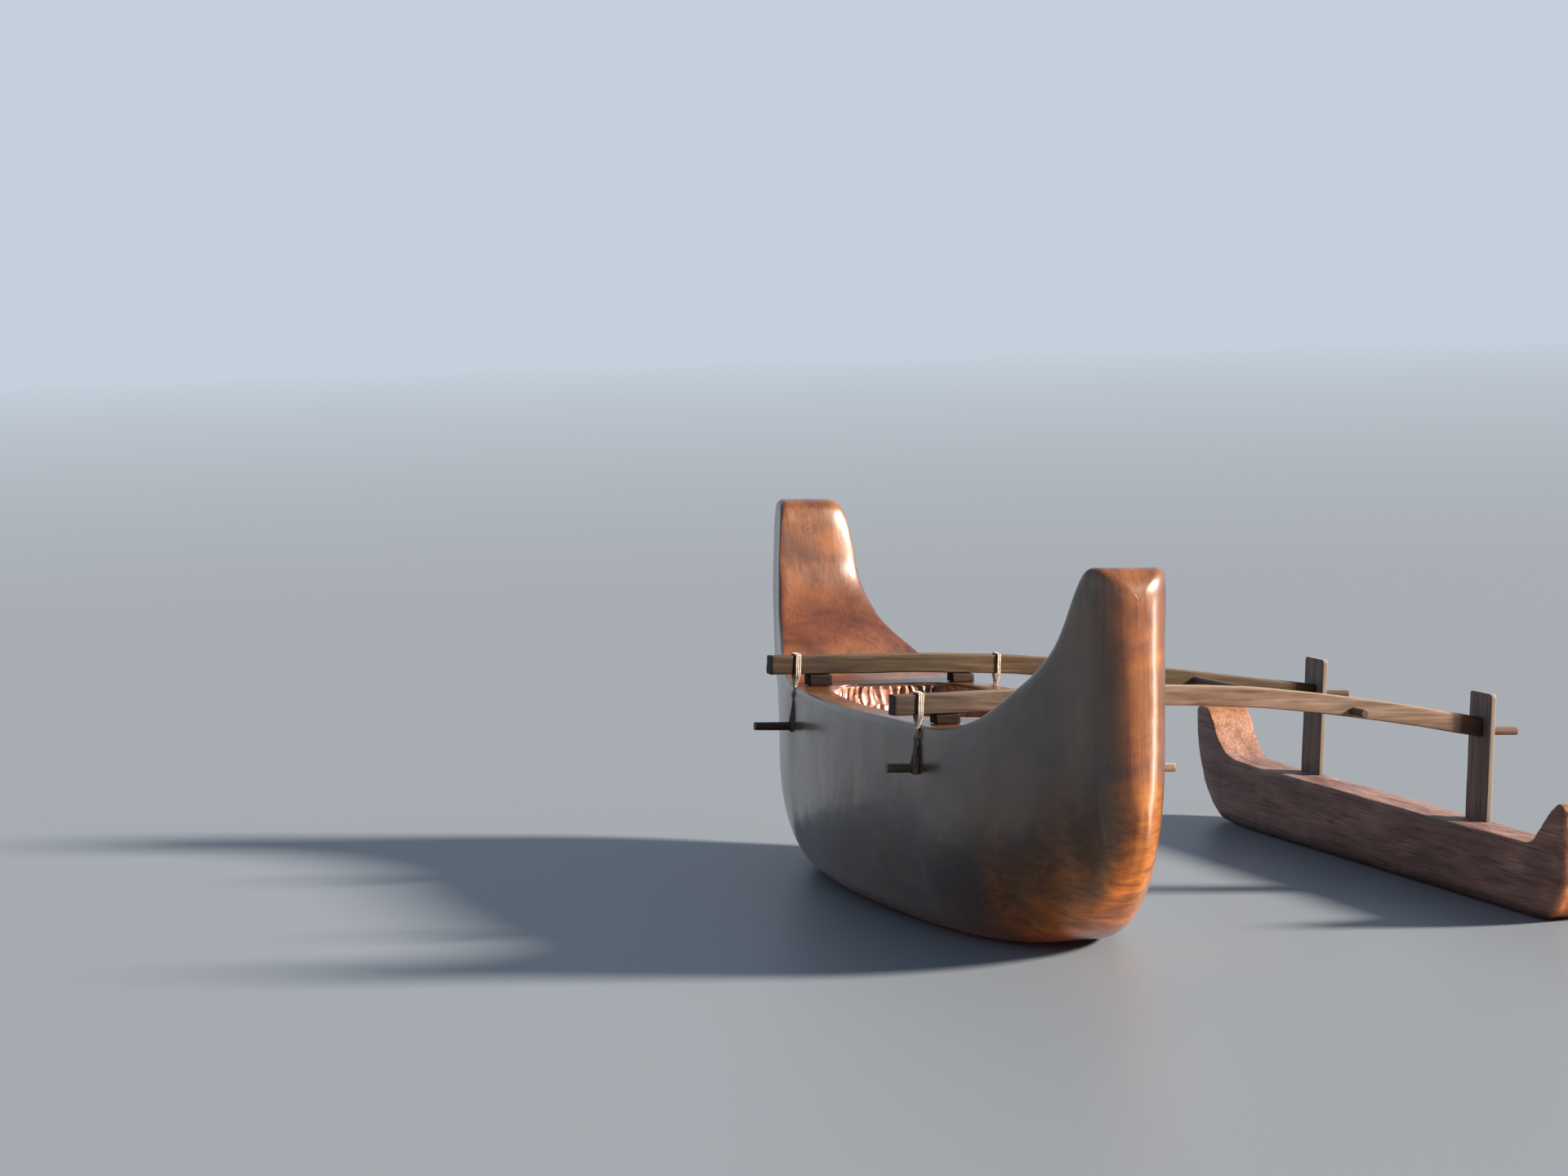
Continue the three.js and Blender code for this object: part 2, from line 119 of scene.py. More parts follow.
def makeVarnishedLog():
    # Orange-brown hardwood log under brushed clear varnish: soft blotches, fine streaks, a wavy soft gloss.
    material, tree, shader, place = startMaterial("varnished_hardwood_log", {
        "Roughness": 0.45, "Specular IOR Level": 0.28, "Coat Roughness": 0.22, "Coat IOR": 1.55,
    })
    area = addNode(tree, "ShaderNodeMapping", {"Scale": perMm(*hullFinish["blotch"])}, {"Vector": place})
    blotch = addNode(tree, "ShaderNodeTexNoise",
                     {"Scale": 1, "Detail": 4, "Roughness": 0.55, "Distortion": 0.5}, {"Vector": area})
    tone = addNode(tree, "ShaderNodeValToRGB", links={"Fac": blotch}, stops=[
        (0.32, hullFinish["dark"]), (0.50, hullFinish["middle"]), (0.68, hullFinish["light"]),
    ])
    # streaks run down the sides, and along the deck and the stems' inner faces
    normal = addNode(tree, "ShaderNodeSeparateXYZ",
                     links={"Vector": addNode(tree, "ShaderNodeNewGeometry").outputs["Normal"]})
    upward = addNode(tree, "ShaderNodeMapRange", fromTo(*hullFinish["deckSlope"]),
                     {"Value": normal.outputs["Z"]})
    down = addNode(tree, "ShaderNodeMapping", {"Scale": perMm(*hullFinish["streak"])}, {"Vector": place})
    along = addNode(tree, "ShaderNodeMapping", {"Scale": perMm(*hullFinish["grain"])}, {"Vector": place})
    streaks = addNode(tree, "ShaderNodeTexNoise", {"Scale": 1, "Detail": 4, "Roughness": 0.6},
                      {"Vector": down})
    grain = addNode(tree, "ShaderNodeTexNoise", {"Scale": 1, "Detail": 4, "Roughness": 0.6},
                    {"Vector": along})
    lines = addNode(tree, "ShaderNodeMix", {"data_type": "FLOAT"}, {0: upward, 2: streaks, 3: grain})
    shade = addNode(tree, "ShaderNodeValToRGB", links={"Fac": lines}, stops=[
        (0.30, hullFinish["streakShade"]), (0.55, "#FFFFFF"),
    ])
    wood = addNode(tree, "ShaderNodeMix", {"data_type": "RGBA", "blend_type": "MULTIPLY", 0: 0.9},
                   {6: tone, 7: shade})
    # painted shade: the long sides are coloured darker and a bluer grey than the stems
    sideways = addNode(tree, "ShaderNodeMath", {"operation": "ABSOLUTE"}, {0: normal.outputs["X"]})
    flank = addNode(tree, "ShaderNodeMapRange", fromTo(*hullFinish["flankSlope"]), {"Value": sideways})
    shadedFlanks = addNode(tree, "ShaderNodeMix",
                        {"data_type": "RGBA", "blend_type": "MULTIPLY", 7: linearColour(hullFinish["sides"])},
                        {0: flank, 6: wood.outputs[2]})
    # low on the stems, where they meet the ground, the varnish is rubbed thin: golden between browner
    # patches, the gold being partly rubbed varnish and partly painted warm light thrown up from the ground
    position = addNode(tree, "ShaderNodeSeparateXYZ", links={"Vector": place})
    lowDown = addNode(tree, "ShaderNodeMapRange", fromTo(*hullFinish["scuffAndBounceHeights"]),
                      {"Value": position.outputs["Z"]})
    endways = addNode(tree, "ShaderNodeMath", {"operation": "ABSOLUTE"}, {0: normal.outputs["Y"]})
    atEnds = addNode(tree, "ShaderNodeMapRange", fromTo(*hullFinish["stemSlope"]), {"Value": endways})
    scuffedAndBounceLit = addNode(tree, "ShaderNodeMath", {"operation": "MULTIPLY"}, {0: lowDown, 1: atEnds})
    scuffAndBounceMapping = addNode(tree, "ShaderNodeMapping", {"Scale": perMm(*hullFinish["scuffAndBounceSize"]), "Rotation": (0, 0.4, 0)},
                  {"Vector": place})
    scuffAndBounceNoise = addNode(tree, "ShaderNodeTexNoise",
                     {"Scale": 1, "Detail": 5, "Roughness": 0.6, "Distortion": 1.0}, {"Vector": scuffAndBounceMapping})
    scuffAndBounceTones = addNode(tree, "ShaderNodeValToRGB", links={"Fac": scuffAndBounceNoise}, stops=[
        (0.36, hullFinish["scuffDark"]), (0.50, hullFinish["scuffBrown"]), (0.66, hullFinish["scuffGoldAndBounceLight"]),
    ])
    worn = addNode(tree, "ShaderNodeMix", {"data_type": "RGBA"},
                   {0: scuffedAndBounceLit, 6: shadedFlanks.outputs[2], 7: scuffAndBounceTones})
    # the far stem's inner face grows redder and darker toward its foot, and holds a small knot
    farEnd = addNode(tree, "ShaderNodeMapRange", fromTo(*hullFinish["farEnd"]),
                     {"Value": position.outputs["Y"]})
    footward = addNode(tree, "ShaderNodeMapRange", fromTo(*hullFinish["farFootHeights"]),
                       {"Value": position.outputs["Z"]})
    farFoot = addNode(tree, "ShaderNodeMath", {"operation": "MULTIPLY"}, {0: farEnd, 1: footward})
    red = addNode(tree, "ShaderNodeMix",
                  {"data_type": "RGBA", "blend_type": "MULTIPLY", 7: linearColour(hullFinish["farFoot"])},
                  {0: farFoot, 6: worn.outputs[2]})
    fromKnot = addNode(tree, "ShaderNodeVectorMath", {"operation": "SUBTRACT", 1: hullFinish["knotAt"]},
                       {0: place})
    knotSize = addNode(tree, "ShaderNodeMapping", {"Scale": perMm(*hullFinish["knot"])}, {"Vector": fromKnot})
    swirl = addNode(tree, "ShaderNodeVectorMath", {"operation": "LENGTH"}, {0: knotSize})
    unround = addNode(tree, "ShaderNodeMath", {"operation": "MULTIPLY_ADD", 1: 0.5},
                      {0: grain, 2: swirl.outputs["Value"]})
    knot = addNode(tree, "ShaderNodeValToRGB", links={"Fac": unround}, stops=[
        (0.36, hullFinish["knotHeart"]), (0.66, "#FFFFFF"), (0.82, hullFinish["knotRing"]), (1.00, "#FFFFFF"),
    ])
    knotted = addNode(tree, "ShaderNodeMix", {"data_type": "RGBA", "blend_type": "MULTIPLY", 0: 1.0},
                      {6: red.outputs[2], 7: knot})
    # painted shade: the foot is darkened where it stands on the ground
    foot = addNode(tree, "ShaderNodeMapRange", fromTo(*hullFinish["contactShadeHeights"]),
                   {"Value": position.outputs["Z"]})
    contactShaded = addNode(tree, "ShaderNodeMix",
                      {"data_type": "RGBA", "blend_type": "MULTIPLY", 7: linearColour(hullFinish["foot"])},
                      {0: foot, 6: knotted.outputs[2]})
    tree.links.new(contactShaded.outputs[2], shader.inputs["Base Color"])
    gloss = addNode(tree, "ShaderNodeMapRange", {"To Min": 1.0, "To Max": 0.25}, {"Value": scuffedAndBounceLit})
    tree.links.new(gloss.outputs[0], shader.inputs["Coat Weight"])
    roll = addNode(tree, "ShaderNodeMapping", {"Scale": perMm(*hullFinish["waves"])}, {"Vector": place})
    waves = addNode(tree, "ShaderNodeTexNoise", {"Scale": 1, "Detail": 2, "Roughness": 0.45},
                    {"Vector": roll})
    # the flat deck was brushed out smoother, so it mirrors the sky
    calm = addNode(tree, "ShaderNodeMapRange", {"To Min": 0.75, "To Max": 0.12}, {"Value": upward})
    bump = addNode(tree, "ShaderNodeBump", {"Distance": 0.0012}, {"Height": waves, "Strength": calm})
    tree.links.new(bump.outputs[0], shader.inputs["Normal"])
    tree.links.new(bump.outputs[0], shader.inputs["Coat Normal"])
    return material


hollowFinish = {
    "dark": "#402014", "middle": "#6E402C", "light": "#98684E", "blotch": (34, 22, 34), "chatter": (5, 3, 5),
}


def makeGougedHollow():
    # The same log inside the hollow: coppery where the gouge opened it, with thick varnish that glints.
    material, tree, shader, place = startMaterial("gouged_varnished_hollow", {
        "Roughness": 0.45, "Specular IOR Level": 0.3,
        "Coat Weight": 0.5, "Coat Roughness": 0.24, "Coat IOR": 1.5,
    })
    area = addNode(tree, "ShaderNodeMapping", {"Scale": perMm(*hollowFinish["blotch"])}, {"Vector": place})
    blotch = addNode(tree, "ShaderNodeTexNoise",
                     {"Scale": 1, "Detail": 4, "Roughness": 0.6, "Distortion": 0.8}, {"Vector": area})
    tone = addNode(tree, "ShaderNodeValToRGB", links={"Fac": blotch}, stops=[
        (0.38, hollowFinish["dark"]), (0.50, hollowFinish["middle"]), (0.62, hollowFinish["light"]),
    ])
    tree.links.new(tone.outputs[0], shader.inputs["Base Color"])
    fine = addNode(tree, "ShaderNodeMapping", {"Scale": perMm(*hollowFinish["chatter"])}, {"Vector": place})
    chatter = addNode(tree, "ShaderNodeTexNoise", {"Scale": 1, "Detail": 2}, {"Vector": fine})
    bump = addNode(tree, "ShaderNodeBump", {"Strength": 0.5, "Distance": 0.0005}, {"Height": chatter})
    tree.links.new(bump.outputs[0], shader.inputs["Normal"])
    tree.links.new(bump.outputs[0], shader.inputs["Coat Normal"])
    return material


floatFinish = {
    "dark": "#5C433C", "middle": "#795C54", "light": "#8D6F65", "crack": "#7A706C", "grainShade": "#E0DCDA",
    "freshDark": "#694127", "freshPale": "#7C5439", "foot": "#5A4640",
    "blotch": (40, 130, 26), "grain": (4, 110, 2.4), "chips": (14, 9, 14), "tears": (12, 40, 9),
    "ends": (0.43, 0.49), "endSlope": (0.75, 0.35), "contactShadeHeights": (0.020, 0.004),
}


def makeAdzedFloat():
    # Reddish hardwood left as the adze cut it, oiled and dull: dark cracks along the grain, browner chiselled
    # ends.
    material, tree, shader, place = startMaterial("adzed_reddish_hardwood", {
        "Roughness": 0.55, "Specular IOR Level": 0.3,
    })
    area = addNode(tree, "ShaderNodeMapping", {"Scale": perMm(*floatFinish["blotch"])}, {"Vector": place})
    blotch = addNode(tree, "ShaderNodeTexNoise",
                     {"Scale": 1, "Detail": 3, "Roughness": 0.6, "Distortion": 0.4}, {"Vector": area})
    tone = addNode(tree, "ShaderNodeValToRGB", links={"Fac": blotch}, stops=[
        (0.30, floatFinish["dark"]), (0.52, floatFinish["middle"]), (0.70, floatFinish["light"]),
    ])
    along = addNode(tree, "ShaderNodeMapping", {"Scale": perMm(*floatFinish["grain"])}, {"Vector": place})
    grain = addNode(tree, "ShaderNodeTexNoise",
                    {"Scale": 1, "Detail": 5, "Roughness": 0.65, "Distortion": 0.3}, {"Vector": along})
    shade = addNode(tree, "ShaderNodeValToRGB", links={"Fac": grain}, stops=[
        (0.33, floatFinish["crack"]), (0.44, floatFinish["grainShade"]), (0.60, "#FFFFFF"),
    ])
    wood = addNode(tree, "ShaderNodeMix", {"data_type": "RGBA", "blend_type": "MULTIPLY", 0: 0.9},
                   {6: tone, 7: shade})
    position = addNode(tree, "ShaderNodeSeparateXYZ", links={"Vector": place})
    outward = addNode(tree, "ShaderNodeMath", {"operation": "ABSOLUTE"}, {0: position.outputs["Y"]})
    atEnds = addNode(tree, "ShaderNodeMapRange", fromTo(*floatFinish["ends"]), {"Value": outward})
    normal = addNode(tree, "ShaderNodeSeparateXYZ",
                     links={"Vector": addNode(tree, "ShaderNodeNewGeometry").outputs["Normal"]})
    sideways = addNode(tree, "ShaderNodeMath", {"operation": "ABSOLUTE"}, {0: normal.outputs["X"]})
    swept = addNode(tree, "ShaderNodeMapRange", fromTo(*floatFinish["endSlope"]), {"Value": sideways})
    fresh = addNode(tree, "ShaderNodeMath", {"operation": "MULTIPLY"}, {0: atEnds, 1: swept})
    cuts = addNode(tree, "ShaderNodeMapping", {"Scale": perMm(*floatFinish["chips"])}, {"Vector": place})
    chips = addNode(tree, "ShaderNodeTexNoise", {"Scale": 1, "Detail": 3, "Roughness": 0.6}, {"Vector": cuts})
    pale = addNode(tree, "ShaderNodeValToRGB", links={"Fac": chips}, stops=[
        (0.38, floatFinish["freshDark"]), (0.60, floatFinish["freshPale"]),
    ])
    whole = addNode(tree, "ShaderNodeMix", {"data_type": "RGBA"}, {0: fresh, 6: wood.outputs[2], 7: pale})
    # painted shade: darkened where it stands on the ground
    foot = addNode(tree, "ShaderNodeMapRange", fromTo(*floatFinish["contactShadeHeights"]),
                   {"Value": position.outputs["Z"]})
    contactShaded = addNode(tree, "ShaderNodeMix",
                      {"data_type": "RGBA", "blend_type": "MULTIPLY", 7: linearColour(floatFinish["foot"])},
                      {0: foot, 6: whole.outputs[2]})
    tree.links.new(contactShaded.outputs[2], shader.inputs["Base Color"])
    tears = addNode(tree, "ShaderNodeMapping", {"Scale": perMm(*floatFinish["tears"])}, {"Vector": place})
    torn = addNode(tree, "ShaderNodeTexNoise", {"Scale": 1, "Detail": 3, "Roughness": 0.6}, {"Vector": tears})
    height = addNode(tree, "ShaderNodeMath", {"operation": "ADD"}, {0: grain, 1: torn})
    bump = addNode(tree, "ShaderNodeBump", {"Strength": 0.8, "Distance": 0.0016}, {"Height": height})
    tree.links.new(bump.outputs[0], shader.inputs["Normal"])
    return material


def makeBareStick(name, finish):
    # Bare weathered stick: grey-brown, dark streaks along the grain, its cut ends darker, hardly any gloss.
    material, tree, shader, place = startMaterial(name, {
        "Roughness": finish["roughness"], "Specular IOR Level": finish["gloss"],
    })
    turned = addNode(tree, "ShaderNodeMapping", {"Rotation": (0, -rigTilt, 0)}, {"Vector": place})
    # patches of tone are a few times the size of the grain's streaks
    x, y, z = finish["grain"]
    wide = addNode(tree, "ShaderNodeMapping", {"Scale": perMm(x * 2, y * 5, z * 5)}, {"Vector": turned})
    patches = addNode(tree, "ShaderNodeTexNoise",
                      {"Scale": 1, "Detail": 3, "Roughness": 0.6, "Distortion": 0.5}, {"Vector": wide})
    dark, middle, light = finish["colours"]
    tone = addNode(tree, "ShaderNodeValToRGB", links={"Fac": patches}, stops=[
        (0.30, dark), (0.50, middle), (0.70, light),
    ])
    narrow = addNode(tree, "ShaderNodeMapping", {"Scale": perMm(x, y, z)}, {"Vector": turned})
    grain = addNode(tree, "ShaderNodeTexNoise",
                    {"Scale": 1, "Detail": 5, "Roughness": 0.65, "Distortion": 0.2}, {"Vector": narrow})
    shade = addNode(tree, "ShaderNodeValToRGB", links={"Fac": grain}, stops=[
        (0.30, "#8E8680"), (0.47, "#E2DEDA"), (0.64, "#FFFFFF"),
    ])
    wood = addNode(tree, "ShaderNodeMix", {"data_type": "RGBA", "blend_type": "MULTIPLY", 0: 0.9},
                   {6: tone, 7: shade})
    normal = addNode(tree, "ShaderNodeSeparateXYZ",
                     links={"Vector": addNode(tree, "ShaderNodeNewGeometry").outputs["Normal"]})
    endways = addNode(tree, "ShaderNodeMath", {"operation": "ABSOLUTE"},
                      {0: normal.outputs[finish["endAxis"]]})
    cutEnd = addNode(tree, "ShaderNodeMapRange", fromTo(0.7, 0.95), {"Value": endways})
    whole = addNode(tree, "ShaderNodeMix", {"data_type": "RGBA", 7: linearColour(finish["cutEnd"])},
                    {0: cutEnd, 6: wood.outputs[2]})
    # the upper faces are lighter: sun-bleached wood, and painted light from above
    upper = addNode(tree, "ShaderNodeMapRange", fromTo(0.55, 0.9) | {"To Max": 0.7},
                    {"Value": normal.outputs["Z"]})
    bleachedAndLit = addNode(tree, "ShaderNodeMix", {"data_type": "RGBA", 7: linearColour(finish["bleachedAndLit"])},
                       {0: upper, 6: whole.outputs[2]})
    # painted shade: darker toward the free ends on the hull's left, which stand in shade, and in a band just
    # before the posts, where the posts' shadow falls; the pegs take a tone of their own. The ramp's places
    # are parts of the way from 200 mm left of the hull's middle to 700 mm right of it
    position = addNode(tree, "ShaderNodeSeparateXYZ", links={"Vector": place})
    span = addNode(tree, "ShaderNodeMapRange", fromTo(-0.2, 0.7), {"Value": position.outputs["X"]})
    paintedShade = addNode(tree, "ShaderNodeValToRGB", links={"Fac": span}, stops=[
        (0.02, finish["shaded"]), (0.30, "#FFFFFF"), (0.865, "#FFFFFF"),
        (0.875, finish["shaded"]), (0.905, finish["shaded"]), (0.915, finish["peg"]),
    ])
    shaded = addNode(tree, "ShaderNodeMix", {"data_type": "RGBA", "blend_type": "MULTIPLY", 0: 1.0},
                      {6: bleachedAndLit.outputs[2], 7: paintedShade})
    tree.links.new(shaded.outputs[2], shader.inputs["Base Color"])
    bump = addNode(tree, "ShaderNodeBump", {"Strength": 0.8, "Distance": finish["relief"]}, {"Height": grain})
    tree.links.new(bump.outputs[0], shader.inputs["Normal"])
    return material


cordFinish = {
    "dark": "#7E7065", "middle": "#A59688", "light": "#BFB0A0", "paintedShade": "#8C8884",
    "patch": (8, 8, 8), "fibre": (0.5, 0.5, 2), "shadeHeights": (0.262, 0.235),
}


def makeCord():
    # Twisted plant-fibre cord, bleached cream, dusty in the lay and a little fuzzy.
    material, tree, shader, place = startMaterial("twisted_fibre_cord", {
        "Roughness": 0.85, "Sheen Weight": 0.3, "Sheen Roughness": 0.5, "IOR": 1.4,
    })
    area = addNode(tree, "ShaderNodeMapping", {"Scale": perMm(*cordFinish["patch"])}, {"Vector": place})
    patches = addNode(tree, "ShaderNodeTexNoise", {"Scale": 1, "Detail": 3, "Roughness": 0.6},
                      {"Vector": area})
    tone = addNode(tree, "ShaderNodeValToRGB", links={"Fac": patches}, stops=[
        (0.30, cordFinish["dark"]), (0.50, cordFinish["middle"]), (0.70, cordFinish["light"]),
    ])
    # painted shade: darker below its waist, where the hull's shadow falls on it
    position = addNode(tree, "ShaderNodeSeparateXYZ", links={"Vector": place})
    down = addNode(tree, "ShaderNodeMapRange", fromTo(*cordFinish["shadeHeights"]),
                   {"Value": position.outputs["Z"]})
    shadedBelow = addNode(tree, "ShaderNodeMix",
                    {"data_type": "RGBA", "blend_type": "MULTIPLY", 7: linearColour(cordFinish["paintedShade"])},
                    {0: down, 6: tone})
    tree.links.new(shadedBelow.outputs[2], shader.inputs["Base Color"])
    fibres = addNode(tree, "ShaderNodeMapping", {"Scale": perMm(*cordFinish["fibre"])}, {"Vector": place})
    fuzz = addNode(tree, "ShaderNodeTexNoise", {"Scale": 1, "Detail": 3, "Roughness": 0.6},
                   {"Vector": fibres})
    bump = addNode(tree, "ShaderNodeBump", {"Strength": 0.6, "Distance": 0.0003}, {"Height": fuzz})
    tree.links.new(bump.outputs[0], shader.inputs["Normal"])
    return material


stickFinishes = {
    "nearBoom": {"colours": ("#47372E", "#5A493D", "#6C5B52"), "bleachedAndLit": "#86725F", "shaded": "#877C76",
                 "peg": "#C4B8BB", "cutEnd": "#2E3036", "endAxis": "X", "grain": (80, 4, 4), "relief": 0.0005,
                 "roughness": 0.65, "gloss": 0.2},
    "farBoom": {"colours": ("#281D11", "#382A1A", "#4B3D28"), "bleachedAndLit": "#5C4C3A", "shaded": "#D0C6BC",
                "peg": "#FFFFFF", "cutEnd": "#26272B", "endAxis": "X", "grain": (80, 4, 4), "relief": 0.0005,
                "roughness": 0.65, "gloss": 0.2},
    "plank": {"colours": ("#50413D", "#6B5A55", "#7D6D68"), "bleachedAndLit": "#84756C", "shaded": "#FFFFFF",
              "peg": "#FFFFFF", "cutEnd": "#4E4740", "endAxis": "Y", "grain": (3, 3, 60), "relief": 0.0005,
              "roughness": 0.6, "gloss": 0.35},
    "block": {"colours": ("#1F1613", "#2E211C", "#3C2C25"), "bleachedAndLit": "#3C2C25", "shaded": "#8A827E",
              "peg": "#FFFFFF", "cutEnd": "#1C1512", "endAxis": "X", "grain": (30, 3, 3), "relief": 0.0004,
              "roughness": 0.65, "gloss": 0.08},
    "rod": {"colours": ("#4B3A30", "#6A5749", "#877263"), "bleachedAndLit": "#8F7A6A", "shaded": "#A09A96",
            "peg": "#FFFFFF", "cutEnd": "#8C7866", "endAxis": "X", "grain": (60, 2, 2), "relief": 0.0004,
            "roughness": 0.55, "gloss": 0.3},
    "longRod": {"colours": ("#33261F", "#4A3A31", "#604F44"), "bleachedAndLit": "#6A584C", "shaded": "#FFFFFF",
                "peg": "#FFFFFF", "cutEnd": "#33271F", "endAxis": "Y", "grain": (2, 60, 2), "relief": 0.0004,
                "roughness": 0.55, "gloss": 0.3},
}

varnishedLog = makeVarnishedLog()
gougedHollow = makeGougedHollow()
adzedFloat = makeAdzedFloat()
boomWoods = {
    "near": makeBareStick("weathered_grey_brown_stick", stickFinishes["nearBoom"]),
    "far": makeBareStick("weathered_dark_brown_stick", stickFinishes["farBoom"]),
}
plankWood = makeBareStick("dark_oiled_plank", stickFinishes["plank"])
blockWood = makeBareStick("dark_oiled_block", stickFinishes["block"])
rodWood = makeBareStick("bare_round_rod", stickFinishes["rod"])
longRodWood = makeBareStick("bare_long_rod", stickFinishes["longRod"])
cordFibre = makeCord()
print("materials made")


def toPiece(name, bm, materials, slotName, *nodes):
    mesh = bpy.data.meshes.new(name)
    bm.to_mesh(mesh)
    bm.free()
    piece = bpy.data.objects.new(name, mesh)
    bpy.context.scene.collection.objects.link(piece)
    for material in materials:
        mesh.materials.append(material)
    for face in mesh.polygons:
        face.use_smooth = True
    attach(piece, "root")
    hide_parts(*nodes)
    return piece


def smoothCurve(places, values):
    # monotone cubic through the points of a table, so a section never overshoots its neighbours
    slopes = [(b - a) / (q - p) for p, q, a, b in zip(places, places[1:], values, values[1:])]
    inner = [0 if a * b <= 0 else 2 * a * b / (a + b) for a, b in zip(slopes, slopes[1:])]
    tangents = [slopes[0], *inner, slopes[-1]]

    def valueAt(place):
        i = min(max(bisect(places, place) - 1, 0), len(places) - 2)
        span = places[i + 1] - places[i]
        t = (place - places[i]) / span
        u = 1 - t
        start = values[i] * (1 + 2 * t) + span * t * tangents[i]
        end = values[i + 1] * (1 + 2 * u) - span * u * tangents[i + 1]
        return u * u * start + t * t * end

    return valueAt


def rollGrid(bm, rings):
    # a flat grid rolled round the rings, a row of it to each ring, and welded along its seam and at its ends
    across = len(rings[0])
    verts = bmesh.ops.create_grid(bm, x_segments=across, y_segments=len(rings) - 1, size=1)["verts"]
    for i, vert in enumerate(verts):
        row, column = divmod(i, across + 1)
        vert.co = rings[row][column % across]
    bmesh.ops.remove_doubles(bm, verts=verts, dist=0.001 * mm)
    bmesh.ops.recalc_face_normals(bm, faces=bm.faces)


def moveSkin(bm, moveAt):
    # moves each point along its normal by moveAt(point, normal)
    bm.normal_update()
    moves = [(vert, vert.normal * moveAt(vert.co, vert.normal)) for vert in bm.verts]
    for vert, move in moves:
        vert.co += move


def smoothSkin(bm, passes, verts=None):
    for _ in range(passes):
        bmesh.ops.smooth_vert(bm, verts=verts or bm.verts, factor=0.5,
                              use_axis_x=True, use_axis_y=True, use_axis_z=True)


def lumps(point, size, seed):
    return noise.noise(point / size + Vector((seed, seed * 1.7, seed * 0.3)))


def keepInside(bm):
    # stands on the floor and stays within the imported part's length
    for vert in bm.verts:
        vert.co.z = max(vert.co.z, 0.0)
        vert.co.y = min(max(vert.co.y, cadLow[1]), cadHigh[1])


# A carved body's rows are millimetres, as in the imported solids: place along, half widths at the top, at the
# belly and of the flat bottom, then the heights of the bottom and of the top
def mirrored(rows):
    return [(-row[0], *row[1:]) for row in reversed(rows)]


def bodyCurves(rows):
    places = [row[0] for row in rows]
    return [smoothCurve(places, [row[c] for row in rows]) for c in range(1, 6)]


def ringPlaces(curves, start, end, step):
    # rings lie closer where one of the curves climbs
    nearby = 0.25
    places = [start]
    while places[-1] < end:
        y = places[-1]
        climb = max(abs(curve(y + nearby) - curve(y - nearby)) / (2 * nearby) for curve in curves)
        y += max(step / math.hypot(1, climb), step / 6)
        places.append(end if end - y < step / 8 else y)
    return places


def easeIn(past, reach):
    # climbs smoothly from 0 to 1 over the reach
    share = min(1, max(0, past / reach))
    return share * share * (3 - 2 * share)


def stemShare(y):
    # 0 along the middle of the hull, 1 on its stems
    return easeIn(abs(y) - hull["stemFrom"], hull["stemReach"])


def carvedRing(y, body, curves, bowl=None, turn=None):
    top, belly, flat, low, high = (curve(y) for curve in curves)
    edge = min(body["edge"] + body["endEdge"] * stemShare(y), top / 2)
    bellyZ = low + (high - low) * body["bellyAt"]
    sideTop = high - edge
    keel, bilge, side, corner, rim, inner = body["columns"]
    half = [(flat * i / keel, low) for i in range(keel)]
    for i in range(bilge):
        angle = i / bilge * math.pi / 2
        out, down = math.sin(angle) ** (2 / body["power"]), math.cos(angle) ** (2 / body["power"])
        half.append((flat + (belly - flat) * out, bellyZ - (bellyZ - low) * down))
    for i in range(side):
        t = i / side
        half.append((belly - (belly - top) * t * t, bellyZ + (sideTop - bellyZ) * t))
    for i in range(corner):
        angle = i / corner * math.pi / 2
        half.append((top - edge + edge * math.cos(angle), sideTop + edge * math.sin(angle)))
    wide, drop = bowl(y, top - edge, high) if bowl else ((top - edge) * rim / (rim + inner), 0)
    for i in range(rim):
        half.append((top - edge - (top - edge - wide) * i / rim, high))
    for i in range(inner + 1):
        # the columns lie closer near the rim, where the gouge marks show
        angle = (i / inner) ** hull["bowlCrowd"] * math.pi / 2
        down = math.sin(angle) ** hull["bowlWall"]
        half.append((wide * math.cos(angle) if bowl else wide * (1 - i / inner), high - drop * down))
    # the top falls toward the float, and the fall and the turn fade out down the sides
    ring = []
    for x, z in half + [(-x, z) for x, z in reversed(half[1:-1])]:
        rise = max(0, z - bellyZ) / (high - bellyZ)
        back = turn(x, y, top) * rise if turn else 0
        ring.append(Vector((x, y + back, z - x * body["fall"] * rise)) * mm)
    return ring


def carvedBody(body, curves, centreX, climbing, bowl=None, turn=None):
    places = ringPlaces(climbing, body["rows"][0][0], body["rows"][-1][0], body["step"])
    rings = [carvedRing(y, body, curves, bowl, turn) for y in places]
    # each end face closes in steps onto an upright middle line that stops short of its top and bottom
    for ring, add in ((rings[0], lambda r: rings.insert(0, r)), (rings[-1], rings.append)):
        twins = [ring[-i] for i in range(len(ring))]
        tall = max(p.z for p in ring) - min(p.z for p in ring)
        reach = min(max(p.x for p in ring), body["capReach"] * tall)
        for share in body["capShares"]:
            heights = [(p.z + q.z) / 2 + (p.z - q.z) / 2 * share for p, q in zip(ring, twins)]
            inset = (1 - share) * reach
            low, high = min(heights) + inset, max(heights) - inset
            add([Vector((p.x * share, p.y, min(max(z, low), high))) for p, z in zip(ring, heights)])
    bm = bmesh.new()
    rollGrid(bm, [[p + Vector((centreX * mm, 0, 0)) for p in ring] for ring in rings])
    return bm


